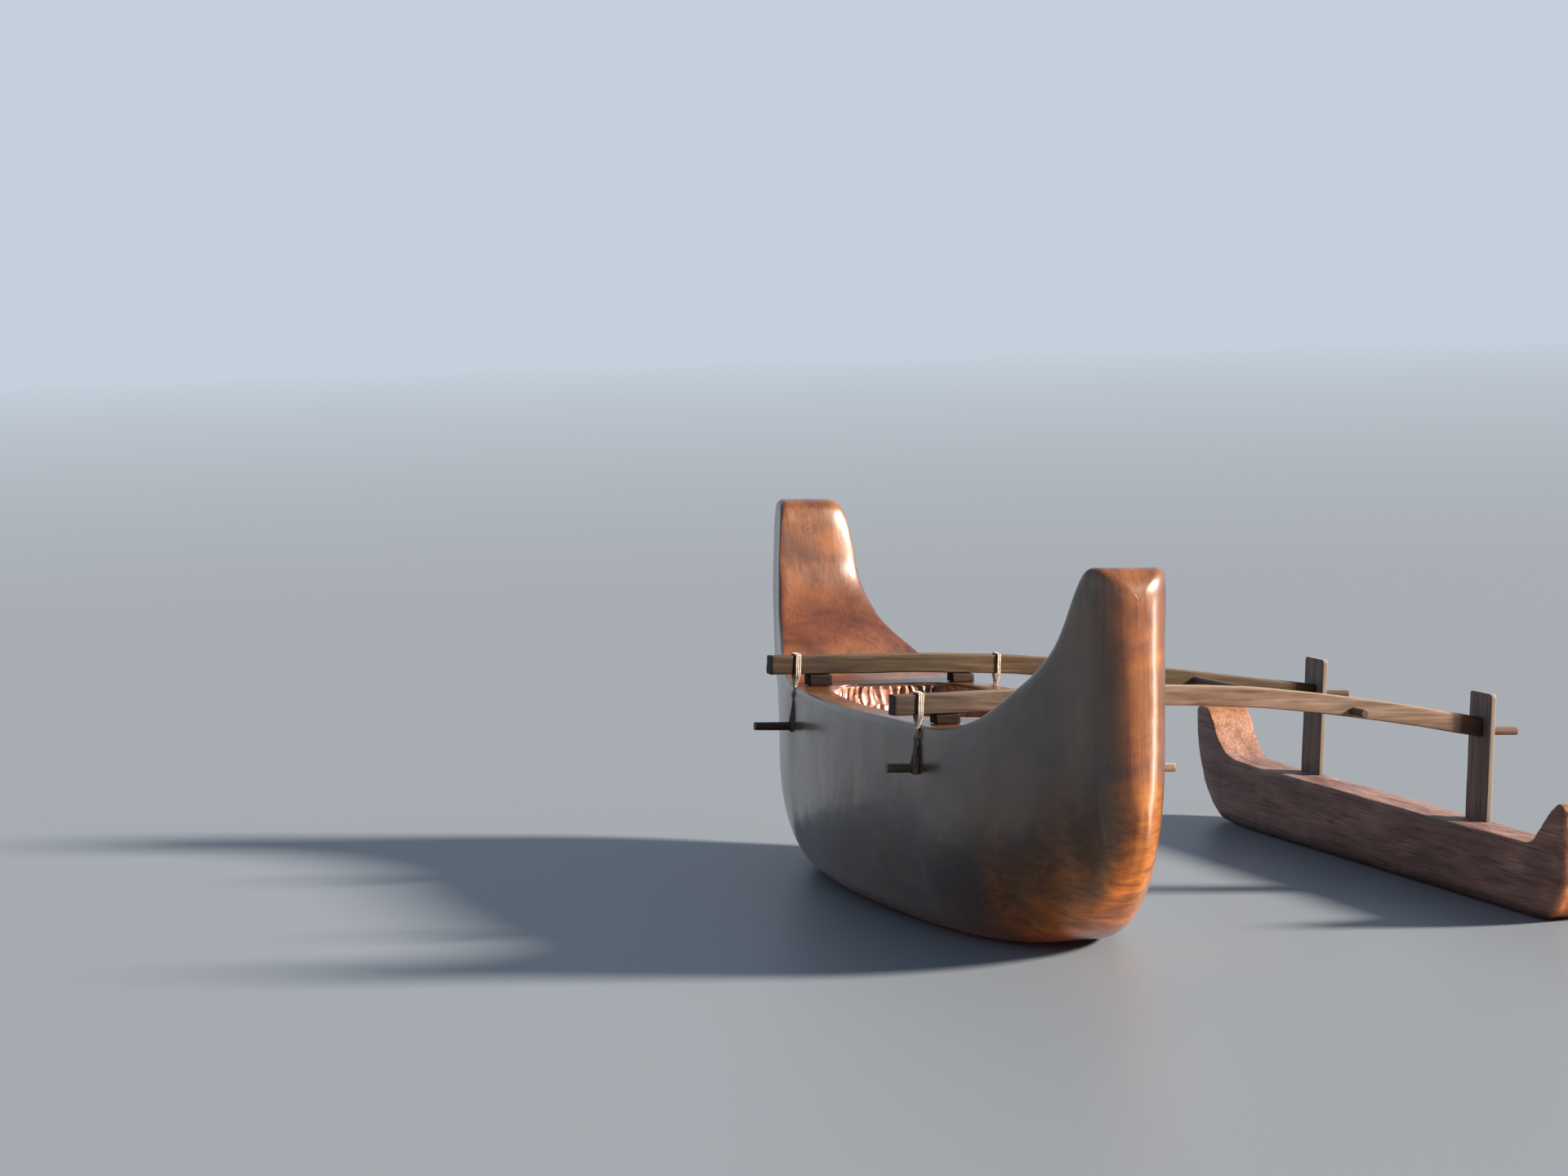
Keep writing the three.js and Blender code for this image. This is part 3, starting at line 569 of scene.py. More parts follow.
hull = {
    "bellyAt": 0.55, "power": 2.3, "edge": 6, "endEdge": 6, "fall": 0.037, "stemFrom": 430, "stemReach": 90,
    "bowlMiddle": 41, "bowlLong": 217, "bowlWide": 109, "bowlDeep": 150, "bowlTop": 256, "bowlPlan": 0.35,
    "bowlKeel": 1.2, "bowlWall": 0.8, "bowlCrowd": 1.35, "bowlLowest": 90, "bowlSkin": 2,
    "spreadReach": 90, "spreadShare": 0.8, "turnRadius": 85, "turnReach": 38, "turnFade": 80,
    "step": 4.8, "columns": (8, 18, 12, 5, 6, 22), "capShares": (0.75, 0.5, 0.25, 0.0), "capReach": 0.4,
    "smooth": 3, "endSmooth": 16, "endSmoothFrom": 600, "refine": 2,
    "lump": 0.9, "lumpSize": 70, "lumpMean": 0.55,
}
hullMiddle = [
    (0, 150, 156, 98, 0, 254), (60, 149, 155, 98, 0, 254), (120, 146, 152, 95, 0, 255),
    (180, 142, 147, 90, 0, 255.6), (232, 137.5, 142, 84, 0, 256), (268, 134, 139.5, 78, 0, 256),
    (310, 127, 133.5, 68, 0, 259), (353, 117, 125, 53, 1, 267),
]
hullNearEnd = [
    (395, 106, 113, 36, 4, 282), (430, 96, 101, 25, 10, 301), (462, 87, 91, 17, 19, 322),
    (490, 79.5, 82, 13, 30, 341), (512, 72.5, 74.5, 11, 42, 360), (530, 66.5, 68, 10, 53, 379),
    (550, 61, 60.5, 9, 66, 407), (565, 57.5, 56, 9, 77, 433), (580, 55, 51.5, 9, 89, 455),
    (594, 52, 47.5, 8, 103, 469.5), (606, 49.5, 44, 8, 117, 472), (619, 44, 38, 8, 133, 468),
    (630, 34.5, 29.5, 7, 152, 460), (637, 23, 19.5, 5.5, 172, 450), (640, 13, 10, 4, 190, 442),
]
hullFarEnd = [
    (395, 106, 113, 38, 4, 279), (430, 96, 101, 28, 9, 294), (462, 87, 91, 20, 17, 309),
    (490, 79, 82.5, 15, 28, 327), (512, 72, 76, 12, 39, 349), (528, 66, 70.5, 11, 50, 371),
    (539, 61, 67, 10, 58, 397), (546, 56.5, 64.5, 10, 63, 437), (552, 52.5, 62.5, 10, 68, 465),
    (560, 49.5, 60, 9, 74, 481), (574, 47, 57, 9, 85, 488), (594, 44.5, 53, 8, 103, 490),
    (612, 41, 48, 8, 124, 487), (626, 37, 42, 7, 145, 479), (635, 32, 35, 6, 165, 468),
    (640, 25, 27, 5, 188, 456),
]
hull["rows"] = mirrored(hullNearEnd) + mirrored(hullMiddle[1:]) + hullMiddle + hullFarEnd


def bowlShrink(y):
    along = min(1, abs(y - hull["bowlMiddle"]) / hull["bowlLong"])
    return math.sqrt(1 - along * along)


def bowlWidth(y):
    return hull["bowlWide"] * max(0.05, bowlShrink(y)) ** hull["bowlPlan"]


def bowlSize(y, halfTop, high):
    # half width and drop of the hollow; past its tips the columns that formed it spread out over the deck
    shrink, wide = bowlShrink(y), bowlWidth(y)
    drop = high - hull["bowlTop"] + hull["bowlDeep"] * shrink ** hull["bowlKeel"] if shrink > 0 else 0
    past = easeIn(abs(y - hull["bowlMiddle"]) - hull["bowlLong"], hull["spreadReach"])
    return wide + (halfTop * hull["spreadShare"] - wide) * past, drop


def inBowl(point, below):
    # in the hollow, and at least so many millimetres below its rim
    x, y, z = point / mm
    rim = hull["bowlTop"] - hull["bowlSkin"] - x * hull["fall"] - below
    if abs(x) >= bowlWidth(y) + hull["bowlSkin"] or abs(y - hull["bowlMiddle"]) >= hull["bowlLong"]:
        return False
    return hull["bowlLowest"] < z < rim


gouge = {
    "deep": 2.1, "wide": 10, "long": 19, "wallRadius": 128.5, "fewest": 6, "slant": 1.3,
    "rowWander": (0.4, 26), "stagger": 0.37, "markWander": (0.9, 22),
}

# distance round the hollow's rim at each degree of its oval
rimLengths = [0.0]
for degree in range(360):
    angle = math.radians(degree + 0.5)
    rimLengths.append(rimLengths[-1] + math.radians(1) * math.hypot(
        hull["bowlWide"] * math.sin(angle), hull["bowlLong"] * math.cos(angle)))


def gougeCut(point):
    # rows of gouge marks round the hollow, each mark a scoop of its own depth that runs down the wall
    x, y, z = point / mm
    turn = math.degrees(math.atan2((y - hull["bowlMiddle"]) / hull["bowlLong"], x / hull["bowlWide"])) % 360
    whole = int(turn)
    along = rimLengths[whole] + (turn - whole) * (rimLengths[whole + 1] - rimLengths[whole])
    sunk = min(1, max(0, (hull["bowlTop"] - x * hull["fall"] - z) / hull["bowlDeep"]))
    downWall = math.asin(sunk ** (1 / hull["bowlWall"])) * (hull["bowlDeep"] + hull["bowlWide"]) / 2
    wander, wanderSize = gouge["rowWander"]
    rows = downWall / gouge["long"] + wander * lumps(point, wanderSize * mm, 4.2)
    row = math.floor(rows)
    # the rows shorten toward the hollow's floor, so that they hold fewer marks
    ringShare = max(0.12, math.cos(min(1.4, (row + 0.5) * gouge["long"] / gouge["wallRadius"])))
    count = max(gouge["fewest"], round(ringShare * rimLengths[-1] / gouge["wide"]))
    wander, wanderSize = gouge["markWander"]
    marks = along / rimLengths[-1] * count + gouge["stagger"] * row
    marks += wander * lumps(point, wanderSize * mm, 9.1)
    mark = math.floor(marks)
    u, v = marks - mark, rows - row
    own = noise.cell(Vector((mark % count + 0.5, row + 0.5, 3.5)))
    lean = noise.cell(Vector((mark % count + 0.5, row + 0.5, 8.5)))
    scoop = (1 - (2 * u - 1) ** 2) * (0.3 + 0.7 * math.sin(math.pi * min(1, max(0, v + 0.2 * lean))))
    slant = (own - 0.5) * (2 * u - 1) * gouge["slant"]
    return -gouge["deep"] * mm * (scoop * (0.7 + 0.4 * own) + slant)


def carveHull():
    curves = bodyCurves(hull["rows"])

    def bowlDrop(y):
        return hull["bowlDeep"] * bowlShrink(y) ** hull["bowlKeel"]

    def farTurn(x, y, top):
        # the far stem's inner face turns back toward the float's side
        over = max(0, x - top + hull["turnReach"])
        fade = min(1, max(0, (hull["rows"][-1][0] - y) / hull["turnFade"])) if y > 0 else 0
        return over * over / 2 / hull["turnRadius"] * stemShare(y) * fade

    bm = carvedBody(hull, curves, 0, [curves[3], curves[4], bowlDrop], bowlSize, farTurn)
    smoothSkin(bm, hull["smooth"])
    smoothSkin(bm, hull["endSmooth"], [v for v in bm.verts if abs(v.co.y) > hull["endSmoothFrom"] * mm])
    inner = [f for f in bm.faces if inBowl(f.calc_center_median(), 1)]
    edges = list({e for f in inner for e in f.edges})
    bmesh.ops.subdivide_edges(bm, edges=edges, cuts=hull["refine"], use_grid_fill=True)

    def cut(point, normal):
        if inBowl(point, 3):
            return gougeCut(point)
        return -hull["lump"] * mm * (hull["lumpMean"] + lumps(point, hull["lumpSize"] * mm, 3.1))

    moveSkin(bm, cut)
    keepInside(bm)
    for face in bm.faces:
        face.material_index = 1 if inBowl(face.calc_center_median(), 2) else 0
    return toPiece("hull_carved", bm, [varnishedLog, gougedHollow], "varnished_hull", "hull")


outrigger = {
    "bellyAt": 0.5, "power": 2.6, "edge": 3, "endEdge": 0, "fall": 0.06, "centreX": 604,
    "step": 3.4, "columns": (8, 14, 9, 3, 3, 9), "capShares": (0.75, 0.5, 0.25, 0.0), "capReach": 0.4,
    "smooth": 2, "sideCut": 1.0, "facet": (20, 70, 18), "endCut": 1.3, "chip": (13, 11, 11),
    "lump": 0.6, "lumpSize": 30,
    "rows": [
        (-568, 22, 23, 12, 76, 137), (-564, 27, 28, 14, 60, 144), (-555, 29, 30, 16, 43, 148),
        (-542, 30, 31, 19, 22, 142), (-524, 31, 32, 22, 5, 128), (-504, 31, 32, 24, 0, 109),
        (-487, 31, 32, 26, 0, 96), (-465, 31, 32, 26, 0, 91), (-290, 31, 32, 26, 0, 90),
        (-100, 31, 32, 26, 0, 91), (100, 32, 33, 26, 0, 92), (290, 32, 33, 26, 0, 93),
        (400, 31, 32, 24, 0, 94.5), (425, 31, 32, 23, 1, 98), (448, 31.5, 32, 22, 2, 108),
        (465, 32, 32.5, 21, 4, 124), (479, 32, 32.5, 20, 9, 144), (489, 32, 32.5, 19, 13, 156),
        (503, 32, 32.5, 18, 22, 161), (515, 31.5, 32, 17, 34, 162), (526, 31, 31.5, 16, 57, 161),
        (536, 29.5, 30, 14, 86, 158), (542, 26, 27, 11, 110, 151),
    ],
}


def adzeCut(point, normal):
    # long shallow adze facets along the sides, short chips on the swept ends, and wandering edges
    atEnd = min(1.0, max(0.0, (abs(point.y) - 0.45) / 0.05)) * (1 - abs(normal.x))
    facets = noise.voronoi(point * Vector(perMm(*outrigger["facet"])))[0]
    chips = noise.voronoi(point * Vector(perMm(*outrigger["chip"])))[0]
    side = min(1.0, (facets[0] / 0.6) ** 2) - 1
    chip = min(1.0, (chips[0] / 0.6) ** 2) - 1
    cut = outrigger["sideCut"] * side * (1 - atEnd) + outrigger["endCut"] * chip * atEnd
    return mm * (cut + outrigger["lump"] * lumps(point, outrigger["lumpSize"] * mm, 5.0) - 0.4)


def carveFloat():
    curves = bodyCurves(outrigger["rows"])
    bm = carvedBody(outrigger, curves, outrigger["centreX"], [curves[3], curves[4]])
    smoothSkin(bm, outrigger["smooth"])
    moveSkin(bm, adzeCut)
    keepInside(bm)
    return toPiece("float_carved", bm, [adzedFloat], "float_wood", "float")


print("hull carved:", len(carveHull().data.polygons), "faces")
print("float carved:", len(carveFloat().data.polygons), "faces")


# Sticks and planks: rounded outlines swept along, with flat cut ends
def roundedLoop(wide, high, corner, sideSteps, cornerSteps=3):
    # (across, up) pairs round a rectangle with round corners, or round a circle when no side is left
    halfW, halfH = wide / 2 - corner, high / 2 - corner
    centres = [(halfW, halfH), (-halfW, halfH), (-halfW, -halfH), (halfW, -halfH)]
    loop = []
    for i, (a, b) in enumerate(centres):
        straight = sideSteps[i % 2]
        for k in range(cornerSteps + (1 if straight else 0)):
            angle = (i + k / cornerSteps) * math.pi / 2
            loop.append(Vector((a + corner * math.cos(angle), b + corner * math.sin(angle))))
        if straight:
            angle = (i + 1) * math.pi / 2
            nextA, nextB = centres[(i + 1) % 4]
            last = loop[-1]
            following = Vector((nextA + corner * math.cos(angle), nextB + corner * math.sin(angle)))
            loop += [last.lerp(following, k / straight) for k in range(1, straight)]
    return loop


def stations(start, end, step, worn=0.8):
    # places along a stick with the share of its full size there: the cut end face from its middle out, its
    # worn edge, then the body and the other end
    faceShares = (0.0, 0.4, 0.75, 0.93)
    count = max(2, round((end - start - 2 * worn) / step))
    body = [(start + worn + (end - start - 2 * worn) * i / count, 1.0) for i in range(count + 1)]
    return [(start, share) for share in faceShares] + body + [(end, share) for share in reversed(faceShares)]


# A stick's rings lie a step apart, and its sides say how many parts its faces have across and up. Its surface
# is cut back by about half its cut, in lumps of the uneven size along X, Y and Z. Lengths are millimetres.
booms = {
    "wide": 22, "high": 25.5, "corner": 2.2, "start": -187.5, "end": 612.2, "step": 3.2, "sides": (6, 7),
    "tenon": 11.2, "tenonHeight": 243, "tenonFrom": 600, "tenonEnd": 666, "tenonStep": 2.0, "tenonWorn": 1.2,
    "arcs": {
        "near": ((-187.5, 275), (-67, 280.5), (60, 286.5), (172, 288.7), (282, 286.5), (376, 279.3),
                 (500, 265), (612.5, 248.5)),
        "far": ((-187.5, 280), (-67, 282.4), (25, 284), (126, 283.4), (204, 280), (385, 265.5), (500, 254.4),
                (612.5, 244)),
    },
    "y": {"near": -250, "far": 250}, "cut": 0.5, "uneven": (45, 7, 7),
}
posts = {
    "face": 612.5, "thick": 7.5, "wide": 59, "foot": 107, "top": 293, "corner": 4, "edge": 1.4,
    "step": 2.6, "sides": (3, 18), "cut": 0.3, "uneven": (8, 9, 40),
}
rods = {
    "across": 11.5, "height": 197.5, "spans": {"near": (-191, 191), "far": (-205, 191)}, "step": 2.2,
    "long": 11, "longX": 429, "longHeights": {"near": 269, "far": 262}, "overhang": 45, "longStep": 2.4,
    "cut": 0.3, "uneven": (35, 5, 5), "longUneven": (5, 35, 5),
}
spacers = {
    "left": (-116, -84), "right": (88, 119), "deep": 24, "corner": 1.5, "gapAbove": 0.6, "gapBelow": 0.3,
    "step": 1.8, "worn": 0.7, "sides": (10, 4), "cut": 0.3, "uneven": (16, 6, 6),
}


def boomHeight(side):
    arc = booms["arcs"][side]
    return smoothCurve([p[0] for p in arc], [p[1] for p in arc])


def finishStick(name, bm, material, slotName, node, cut, uneven, turn=rigTurn):
    # each node gets hand-cut unevenness of its own, nearly all of it inward, and then turns to its place
    scale = Vector(perMm(*uneven))
    offset = Vector((len(node), len(node) * 2.3, sum(map(ord, node)) * 0.37))
    moveSkin(bm, lambda point, normal: -cut * mm * (0.55 + noise.noise(point * scale + offset)))
    bmesh.ops.transform(bm, matrix=turn, verts=bm.verts)
    return toPiece(name, bm, [material], slotName, node)


def makeBoom(side):
    height, y = boomHeight(side), booms["y"][side]
    loop = roundedLoop(booms["wide"], booms["high"], booms["corner"], booms["sides"])
    rings = [
        [Vector((x, y + p.x * share, height(x) + p.y * share)) * mm for p in loop]
        for x, share in stations(booms["start"], booms["end"], booms["step"])
    ]
    peg = roundedLoop(booms["tenon"], booms["tenon"], booms["tenon"] / 2, (0, 0), 6)
    pegRings = [
        [Vector((x, y + p.x * share, booms["tenonHeight"] + p.y * share)) * mm for p in peg]
        for x, share in stations(booms["tenonFrom"], booms["tenonEnd"],
                                 booms["tenonStep"], booms["tenonWorn"])
    ]
    bm = bmesh.new()
    rollGrid(bm, rings)
    rollGrid(bm, pegRings)
    return finishStick(f"boom_{side}_stick", bm, boomWoods[side], "boom_wood", f"boom_{side}",
                       booms["cut"], booms["uneven"])


def makePost(side):
    y = booms["y"][side]
    rings = []
    for z, share in stations(posts["foot"], posts["top"], posts["step"]):
        rise = max(0.0, z - posts["top"] + posts["corner"])
        trim = posts["corner"] - math.sqrt(max(0.0, posts["corner"] ** 2 - rise ** 2))
        loop = roundedLoop(posts["thick"], posts["wide"] - 2 * trim, posts["edge"], posts["sides"])
        middle = posts["face"] + posts["thick"] / 2
        rings.append([Vector((middle + p.x * share, y + p.y * share, z)) * mm for p in loop])
    bm = bmesh.new()
    rollGrid(bm, rings)
    return finishStick(f"post_{side}_plank", bm, plankWood, "dark_wood", f"post_{side}",
                       posts["cut"], posts["uneven"])


def makeCrossRod(side):
    y = booms["y"][side]
    loop = roundedLoop(rods["across"], rods["across"], rods["across"] / 2, (0, 0), 6)
    rings = [
        [Vector((x, y + p.x * share, rods["height"] + p.y * share)) * mm for p in loop]
        for x, share in stations(*rods["spans"][side], rods["step"])
    ]
    bm = bmesh.new()
    rollGrid(bm, rings)
    return finishStick(f"cross_rod_{side}_stick", bm, rodWood, "pale_rod", f"cross_rod_{side}",
                       rods["cut"], rods["uneven"])


def makeStretcher():
    nearY, farY = booms["y"]["near"], booms["y"]["far"]
    nearZ, farZ = rods["longHeights"]["near"], rods["longHeights"]["far"]
    loop = roundedLoop(rods["long"], rods["long"], rods["long"] / 2, (0, 0), 6)
    rings = []
    for y, share in stations(nearY - rods["overhang"], farY + rods["overhang"], rods["longStep"]):
        z = nearZ + (farZ - nearZ) * (y - nearY) / (farY - nearY)
        rings.append([Vector((rods["longX"] + p.x * share, y, z + p.y * share)) * mm for p in loop])
    bm = bmesh.new()
    rollGrid(bm, rings)
    return finishStick("stretcher_stick", bm, longRodWood, "pale_rod", "stretcher_rod",
                       rods["cut"], rods["longUneven"])


def makeSpacer(side, end):
    # block between the rim and the boom's sloped underside
    height, y = boomHeight(side), booms["y"][side]
    rings = []
    for x, share in stations(*spacers[end], spacers["step"], spacers["worn"]):
        rigX = x * math.cos(rigTilt) - hull["bowlTop"] * math.sin(rigTilt)
        above = rigTurn @ Vector((rigX, 0, height(rigX) - booms["high"] / 2 - spacers["gapAbove"]))
        low = hull["bowlTop"] + spacers["gapBelow"] - x * hull["fall"]
        loop = roundedLoop(spacers["deep"], above.z - low, spacers["corner"], spacers["sides"], 2)
        rings.append([Vector((x, y + p.x * share, (above.z + low) / 2 + p.y * share)) * mm for p in loop])
    bm = bmesh.new()
    rollGrid(bm, rings)
    node = f"spacer_{side}_{end}"
    return finishStick(f"{node}_block", bm, blockWood, "dark_wood", node,
                       spacers["cut"], spacers["uneven"], Matrix.Identity(4))


for side in ("near", "far"):
    makeBoom(side)
    makePost(side)
    makeCrossRod(side)
    for end in ("left", "right"):
        makeSpacer(side, end)
makeStretcher()
print("sticks shaped")


# Lashings: twisted cord over each boom, drawn together below it and round the rod
lashing = {
    "cord": 2.4, "plies": 3, "plyPitch": 8, "plyOut": 0.27, "plyThick": 0.26, "gap": 2.5, "step": 1.1,
    "hitchCord": 0.7, "whiskers": 16, "whiskerThick": 0.1,
    "places": {"near_left": -153.5, "near_right": 137, "far_left": -150, "far_right": 137},
    "turns": {"near_left": 3, "near_right": 3, "far_left": 3, "far_right": 2},
    "waistDrop": 17, "crossDrop": 38,
}


def evenPath(points, step):
    # smooth path through the points, cut into equal steps
    dense = []
    for i in range(len(points) - 1):
        before = points[max(0, i - 1)]
        a, b = points[i], points[i + 1]
        after = points[min(len(points) - 1, i + 2)]
        for k in range(12):
            t = k / 12
            dense.append(0.5 * (2 * a + (b - before) * t + (2 * before - 5 * a + 4 * b - after) * t * t
                                + (3 * a - before - 3 * b + after) * t ** 3))
    dense.append(points[-1])
    path, carried = [dense[0]], 0.0
    for a, b in zip(dense, dense[1:]):
        length = (b - a).length
        while length > 0 and carried + length >= step:
            a = a.lerp(b, (step - carried) / length)
            length = (b - a).length
            path.append(a)
            carried = 0.0
        carried += length
    return path


def layStrand(curve, path, radius):
    spline = curve.splines.new("POLY")
    spline.points.add(len(path) - 1)
    for spot, point in zip(spline.points, path):
        spot.co = (*(point * mm), 1)
        spot.radius = radius


def layCord(curve, points, diameter):
    # the plies wind round each other along the path
    path = evenPath(points, lashing["step"])
    out = Vector((1, 0.2, 0.1)).normalized()
    plies = [[] for _ in range(lashing["plies"])]
    for i, point in enumerate(path):
        ahead = (path[min(i + 1, len(path) - 1)] - path[max(i - 1, 0)]).normalized()
        out = (out - ahead * out.dot(ahead)).normalized()
        across = ahead.cross(out)
        for k, ply in enumerate(plies):
            angle = 2 * math.pi * (i * lashing["step"] / lashing["plyPitch"] + k / len(plies))
            aside = out * math.cos(angle) + across * math.sin(angle)
            ply.append(point + aside * diameter * lashing["plyOut"])
    for ply in plies:
        layStrand(curve, ply, diameter * lashing["plyThick"])


def turnPoints(boomZ, shift, rng):
    # one turn of cord: up from the rod's near side, through the waist to the boom's far side, over the boom
    # and down its near side, then through the waist again to the rod's far side and under it
    r = lashing["cord"] / 2
    halfH = booms["high"] / 2
    w, h = booms["wide"] / 2 + r, halfH + r
    rod = rods["across"] / 2 + r
    rodZ = rods["height"]
    waistZ, crossZ = boomZ - halfH - lashing["waistDrop"], boomZ - halfH - lashing["crossDrop"]
    top, mid, low = shift * lashing["gap"], shift * 0.9, shift * 2.0 - 2
    back = lashing["gap"] / 2
    slip = [rng.uniform(-0.5, 0.5) for _ in range(4)]
    return [Vector(p) for p in (
        (low, -rod * 0.75, rodZ - rod * 0.66), (low, -rod, rodZ + 1),
        (low + slip[0], -rod * 0.72, rodZ + rod * 0.9), (mid - 1.8, -1.6, crossZ),
        (mid + 2.4, 0.6, (crossZ + waistZ) / 2), (mid + 0.6, 2.0, waistZ + slip[1]),
        (top * 0.8 + back, w * 0.72, boomZ - halfH - 5), (top + back, w, boomZ - halfH + 1.5),
        (top + back, w, boomZ), (top + back, w, boomZ + halfH - 1.5), (top + back, w * 0.8, boomZ + h),
        (top + back * 0.5, 0, boomZ + h), (top + slip[2] * 0.6, -w * 0.8, boomZ + h),
        (top, -w, boomZ + halfH - 1.5), (top + slip[2], -w, boomZ), (top * 0.95, -w, boomZ - halfH + 1.5),
        (top * 0.8, -w * 0.76, boomZ - halfH - 5), (mid * 0.8, -2.4, waistZ + slip[3]),
        (mid - 2.6, -0.6, (crossZ + waistZ) / 2), (mid - 0.6, 1.6, crossZ),
        (low, rod * 0.72, rodZ + rod * 0.9), (low, rod, rodZ + 1), (low, rod * 0.75, rodZ - rod * 0.66),
        (low + 1, 0, rodZ - rod),
    )]


def bindLashing(side, end):
    rng = random.Random(f"{side} {end}")
    binding = f"{side}_{end}"
    x, y, turns = lashing["places"][binding], booms["y"][side], lashing["turns"][binding]
    boomZ = boomHeight(side)(x)
    waistZ = boomZ - booms["high"] / 2 - lashing["waistDrop"]
    curve = bpy.data.curves.new("cord", "CURVE")
    curve.dimensions = "3D"
    curve.bevel_depth = mm
    curve.bevel_resolution = 1
    curve.use_fill_caps = True
    points = [p for k in range(turns) for p in turnPoints(boomZ, k - (turns - 1) / 2, rng)]
    layCord(curve, points, lashing["cord"])
    # the cord's end is tucked under a half hitch and hangs loose
    hitch = [Vector((math.cos(a) * 3.4, math.sin(a) * 3.6, waistZ - 1 + a * 0.25)) for a in
             (0.6 + i * math.pi / 6 for i in range(13))]
    lean = rng.uniform(-1, 1)
    hitch += [hitch[-1] + Vector(p) for p in ((1, -2.5, -2), (2 + lean, -4, -6), (1.5 + lean * 3, -4, -12))]
    layCord(curve, hitch, lashing["cord"] * lashing["hitchCord"])
    # loose fibres stand off the waist
    for _ in range(lashing["whiskers"]):
        turn, lift = rng.uniform(0, 2 * math.pi), rng.uniform(-0.6, 0.8)
        away = Vector((math.cos(turn), math.sin(turn), lift)).normalized()
        root = Vector((0, 0, waistZ + rng.uniform(-6, 6))) + away * 3
        length = rng.uniform(2, 6)
        droop = Vector((0, 0, -rng.uniform(0.5, 2)))
        layStrand(curve, [root, root + away * length * 0.5, root + away * length + droop],
                  lashing["whiskerThick"])
    rope = bpy.data.objects.new("rope", curve)
    bpy.context.scene.collection.objects.link(rope)
    mesh = bpy.data.meshes.new_from_object(rope.evaluated_get(bpy.context.evaluated_depsgraph_get()))
    bpy.data.objects.remove(rope)
    bm = bmesh.new()
    bm.from_mesh(mesh)
    bmesh.ops.transform(bm, matrix=rigTurn @ Matrix.Translation((x * mm, y * mm, 0)), verts=bm.verts)
    return toPiece(f"lashing_{binding}_cord", bm, [cordFibre], "cord", f"lashing_{binding}")


for side in ("near", "far"):
    for end in ("left", "right"):
        bindLashing(side, end)
print("lashings bound")


# Stage: pale floor that fades into a pale sky, soft light from the right, the photograph's viewpoint
stage = {
    "floor": "#686E75", "far": "#C5D0DC", "high": "#7C8FA8", "radius": 60, "drop": 0.5,
    "floorFade": (5, 25), "skyFade": (0.08, 0.8),
    "sun": 18, "sunColour": "#FFF2E2", "sunSpread": 9, "sunFrom": (0.817, -0.408, 0.407),
    "bounce": 6.5, "bounceColour": "#FFCB96", "bounceSpread": 40, "bounceFrom": (0.56, -0.62, -0.55),
}


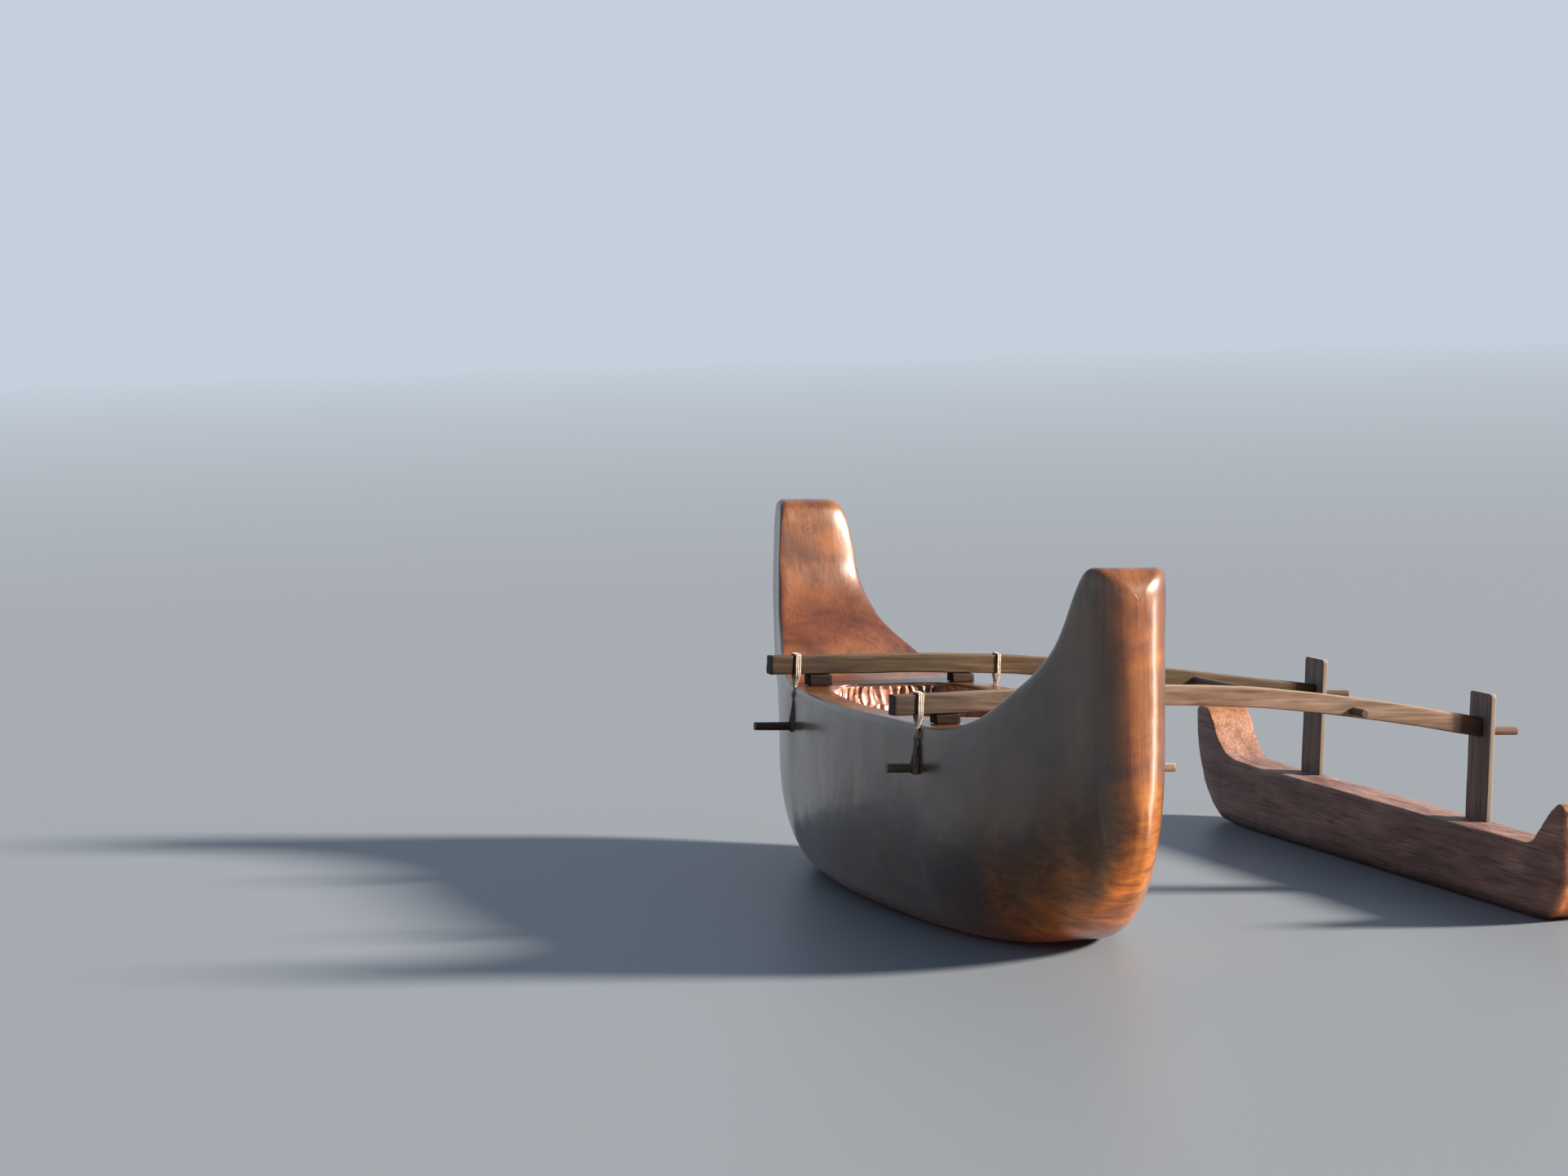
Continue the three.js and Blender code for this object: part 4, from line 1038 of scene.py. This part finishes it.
def makeFloor():
    bm = bmesh.new()
    bmesh.ops.create_circle(bm, cap_ends=True, radius=stage["radius"], segments=96)
    mesh = bpy.data.meshes.new("studio_floor")
    bm.to_mesh(mesh)
    bm.free()
    floor = bpy.data.objects.new("studio_floor", mesh)
    floor.location.z = -stage["drop"] * mm
    bpy.context.scene.collection.objects.link(floor)
    # Pale satin-painted board, which takes on the colour of the sky with distance.
    material, tree, shader, place = startMaterial("pale_satin_floor", {
        "Base Color": linearColour(stage["floor"]), "Roughness": 0.45, "Specular IOR Level": 0.5,
    })
    away = addNode(tree, "ShaderNodeVectorMath", {"operation": "LENGTH"}, {0: place})
    fade = addNode(tree, "ShaderNodeMapRange", fromTo(*stage["floorFade"]), {"Value": away.outputs["Value"]})
    haze = addNode(tree, "ShaderNodeEmission", {"Color": linearColour(stage["far"])})
    blend = addNode(tree, "ShaderNodeMixShader", links={0: fade, 1: shader, 2: haze})
    tree.links.new(blend.outputs[0], tree.nodes["Material Output"].inputs["Surface"])
    mesh.materials.append(material)
    floor.visible_shadow = False  # lets the bounced light through from below


def makeLight():
    world = bpy.data.worlds.new("soft_sky")
    bpy.context.scene.world = world
    world.use_nodes = True
    tree = world.node_tree
    sky = addNode(tree, "ShaderNodeSeparateXYZ", links={"Vector": addNode(tree, "ShaderNodeTexCoord")})
    rise = addNode(tree, "ShaderNodeMapRange", fromTo(*stage["skyFade"]), {"Value": sky.outputs["Z"]})
    colour = addNode(tree, "ShaderNodeMix", {
        "data_type": "RGBA", 6: linearColour(stage["far"]), 7: linearColour(stage["high"]),
    }, {0: rise})
    tree.links.new(colour.outputs[2], tree.nodes["Background"].inputs["Color"])
    # a low soft sun, and the same light thrown back up by the floor
    for name in ("sun", "bounce"):
        lamp = bpy.data.lights.new(name, "SUN")
        lamp.energy = stage[name]
        lamp.angle = math.radians(stage[f"{name}Spread"])
        lamp.color = linearColour(stage[f"{name}Colour"])[:3]
        light = bpy.data.objects.new(name, lamp)
        light.rotation_euler = Vector(stage[f"{name}From"]).to_track_quat("Z", "Y").to_euler()
        light.visible_glossy = name == "sun"
        bpy.context.scene.collection.objects.link(light)
    bpy.context.scene.view_settings.view_transform = "Standard"


# The camera stood low, ahead of the near end and to the left, with a long lens.
viewpoint = {
    "from": (-1.7864, -4.9460, 0.8533), "forward": (0.30025, 0.95015, -0.08407),
    "up": (0.05432, 0.07096, 0.99600), "lens": 93.75, "sensor": 36,
}


def makeCamera():
    camera = bpy.data.objects.new("camera", bpy.data.cameras.new("camera"))
    camera.data.sensor_width = viewpoint["sensor"]
    camera.data.lens = viewpoint["lens"]
    camera.data.clip_start = 0.05
    camera.data.clip_end = 300
    back = -Vector(viewpoint["forward"]).normalized()
    right = Vector(viewpoint["up"]).cross(back).normalized()
    up = back.cross(right)
    turn = Matrix((right, up, back)).transposed().to_4x4()
    camera.matrix_world = Matrix.Translation(viewpoint["from"]) @ turn
    bpy.context.scene.collection.objects.link(camera)
    bpy.context.scene.camera = camera


makeFloor()
makeLight()
makeCamera()
print("stage and camera set")
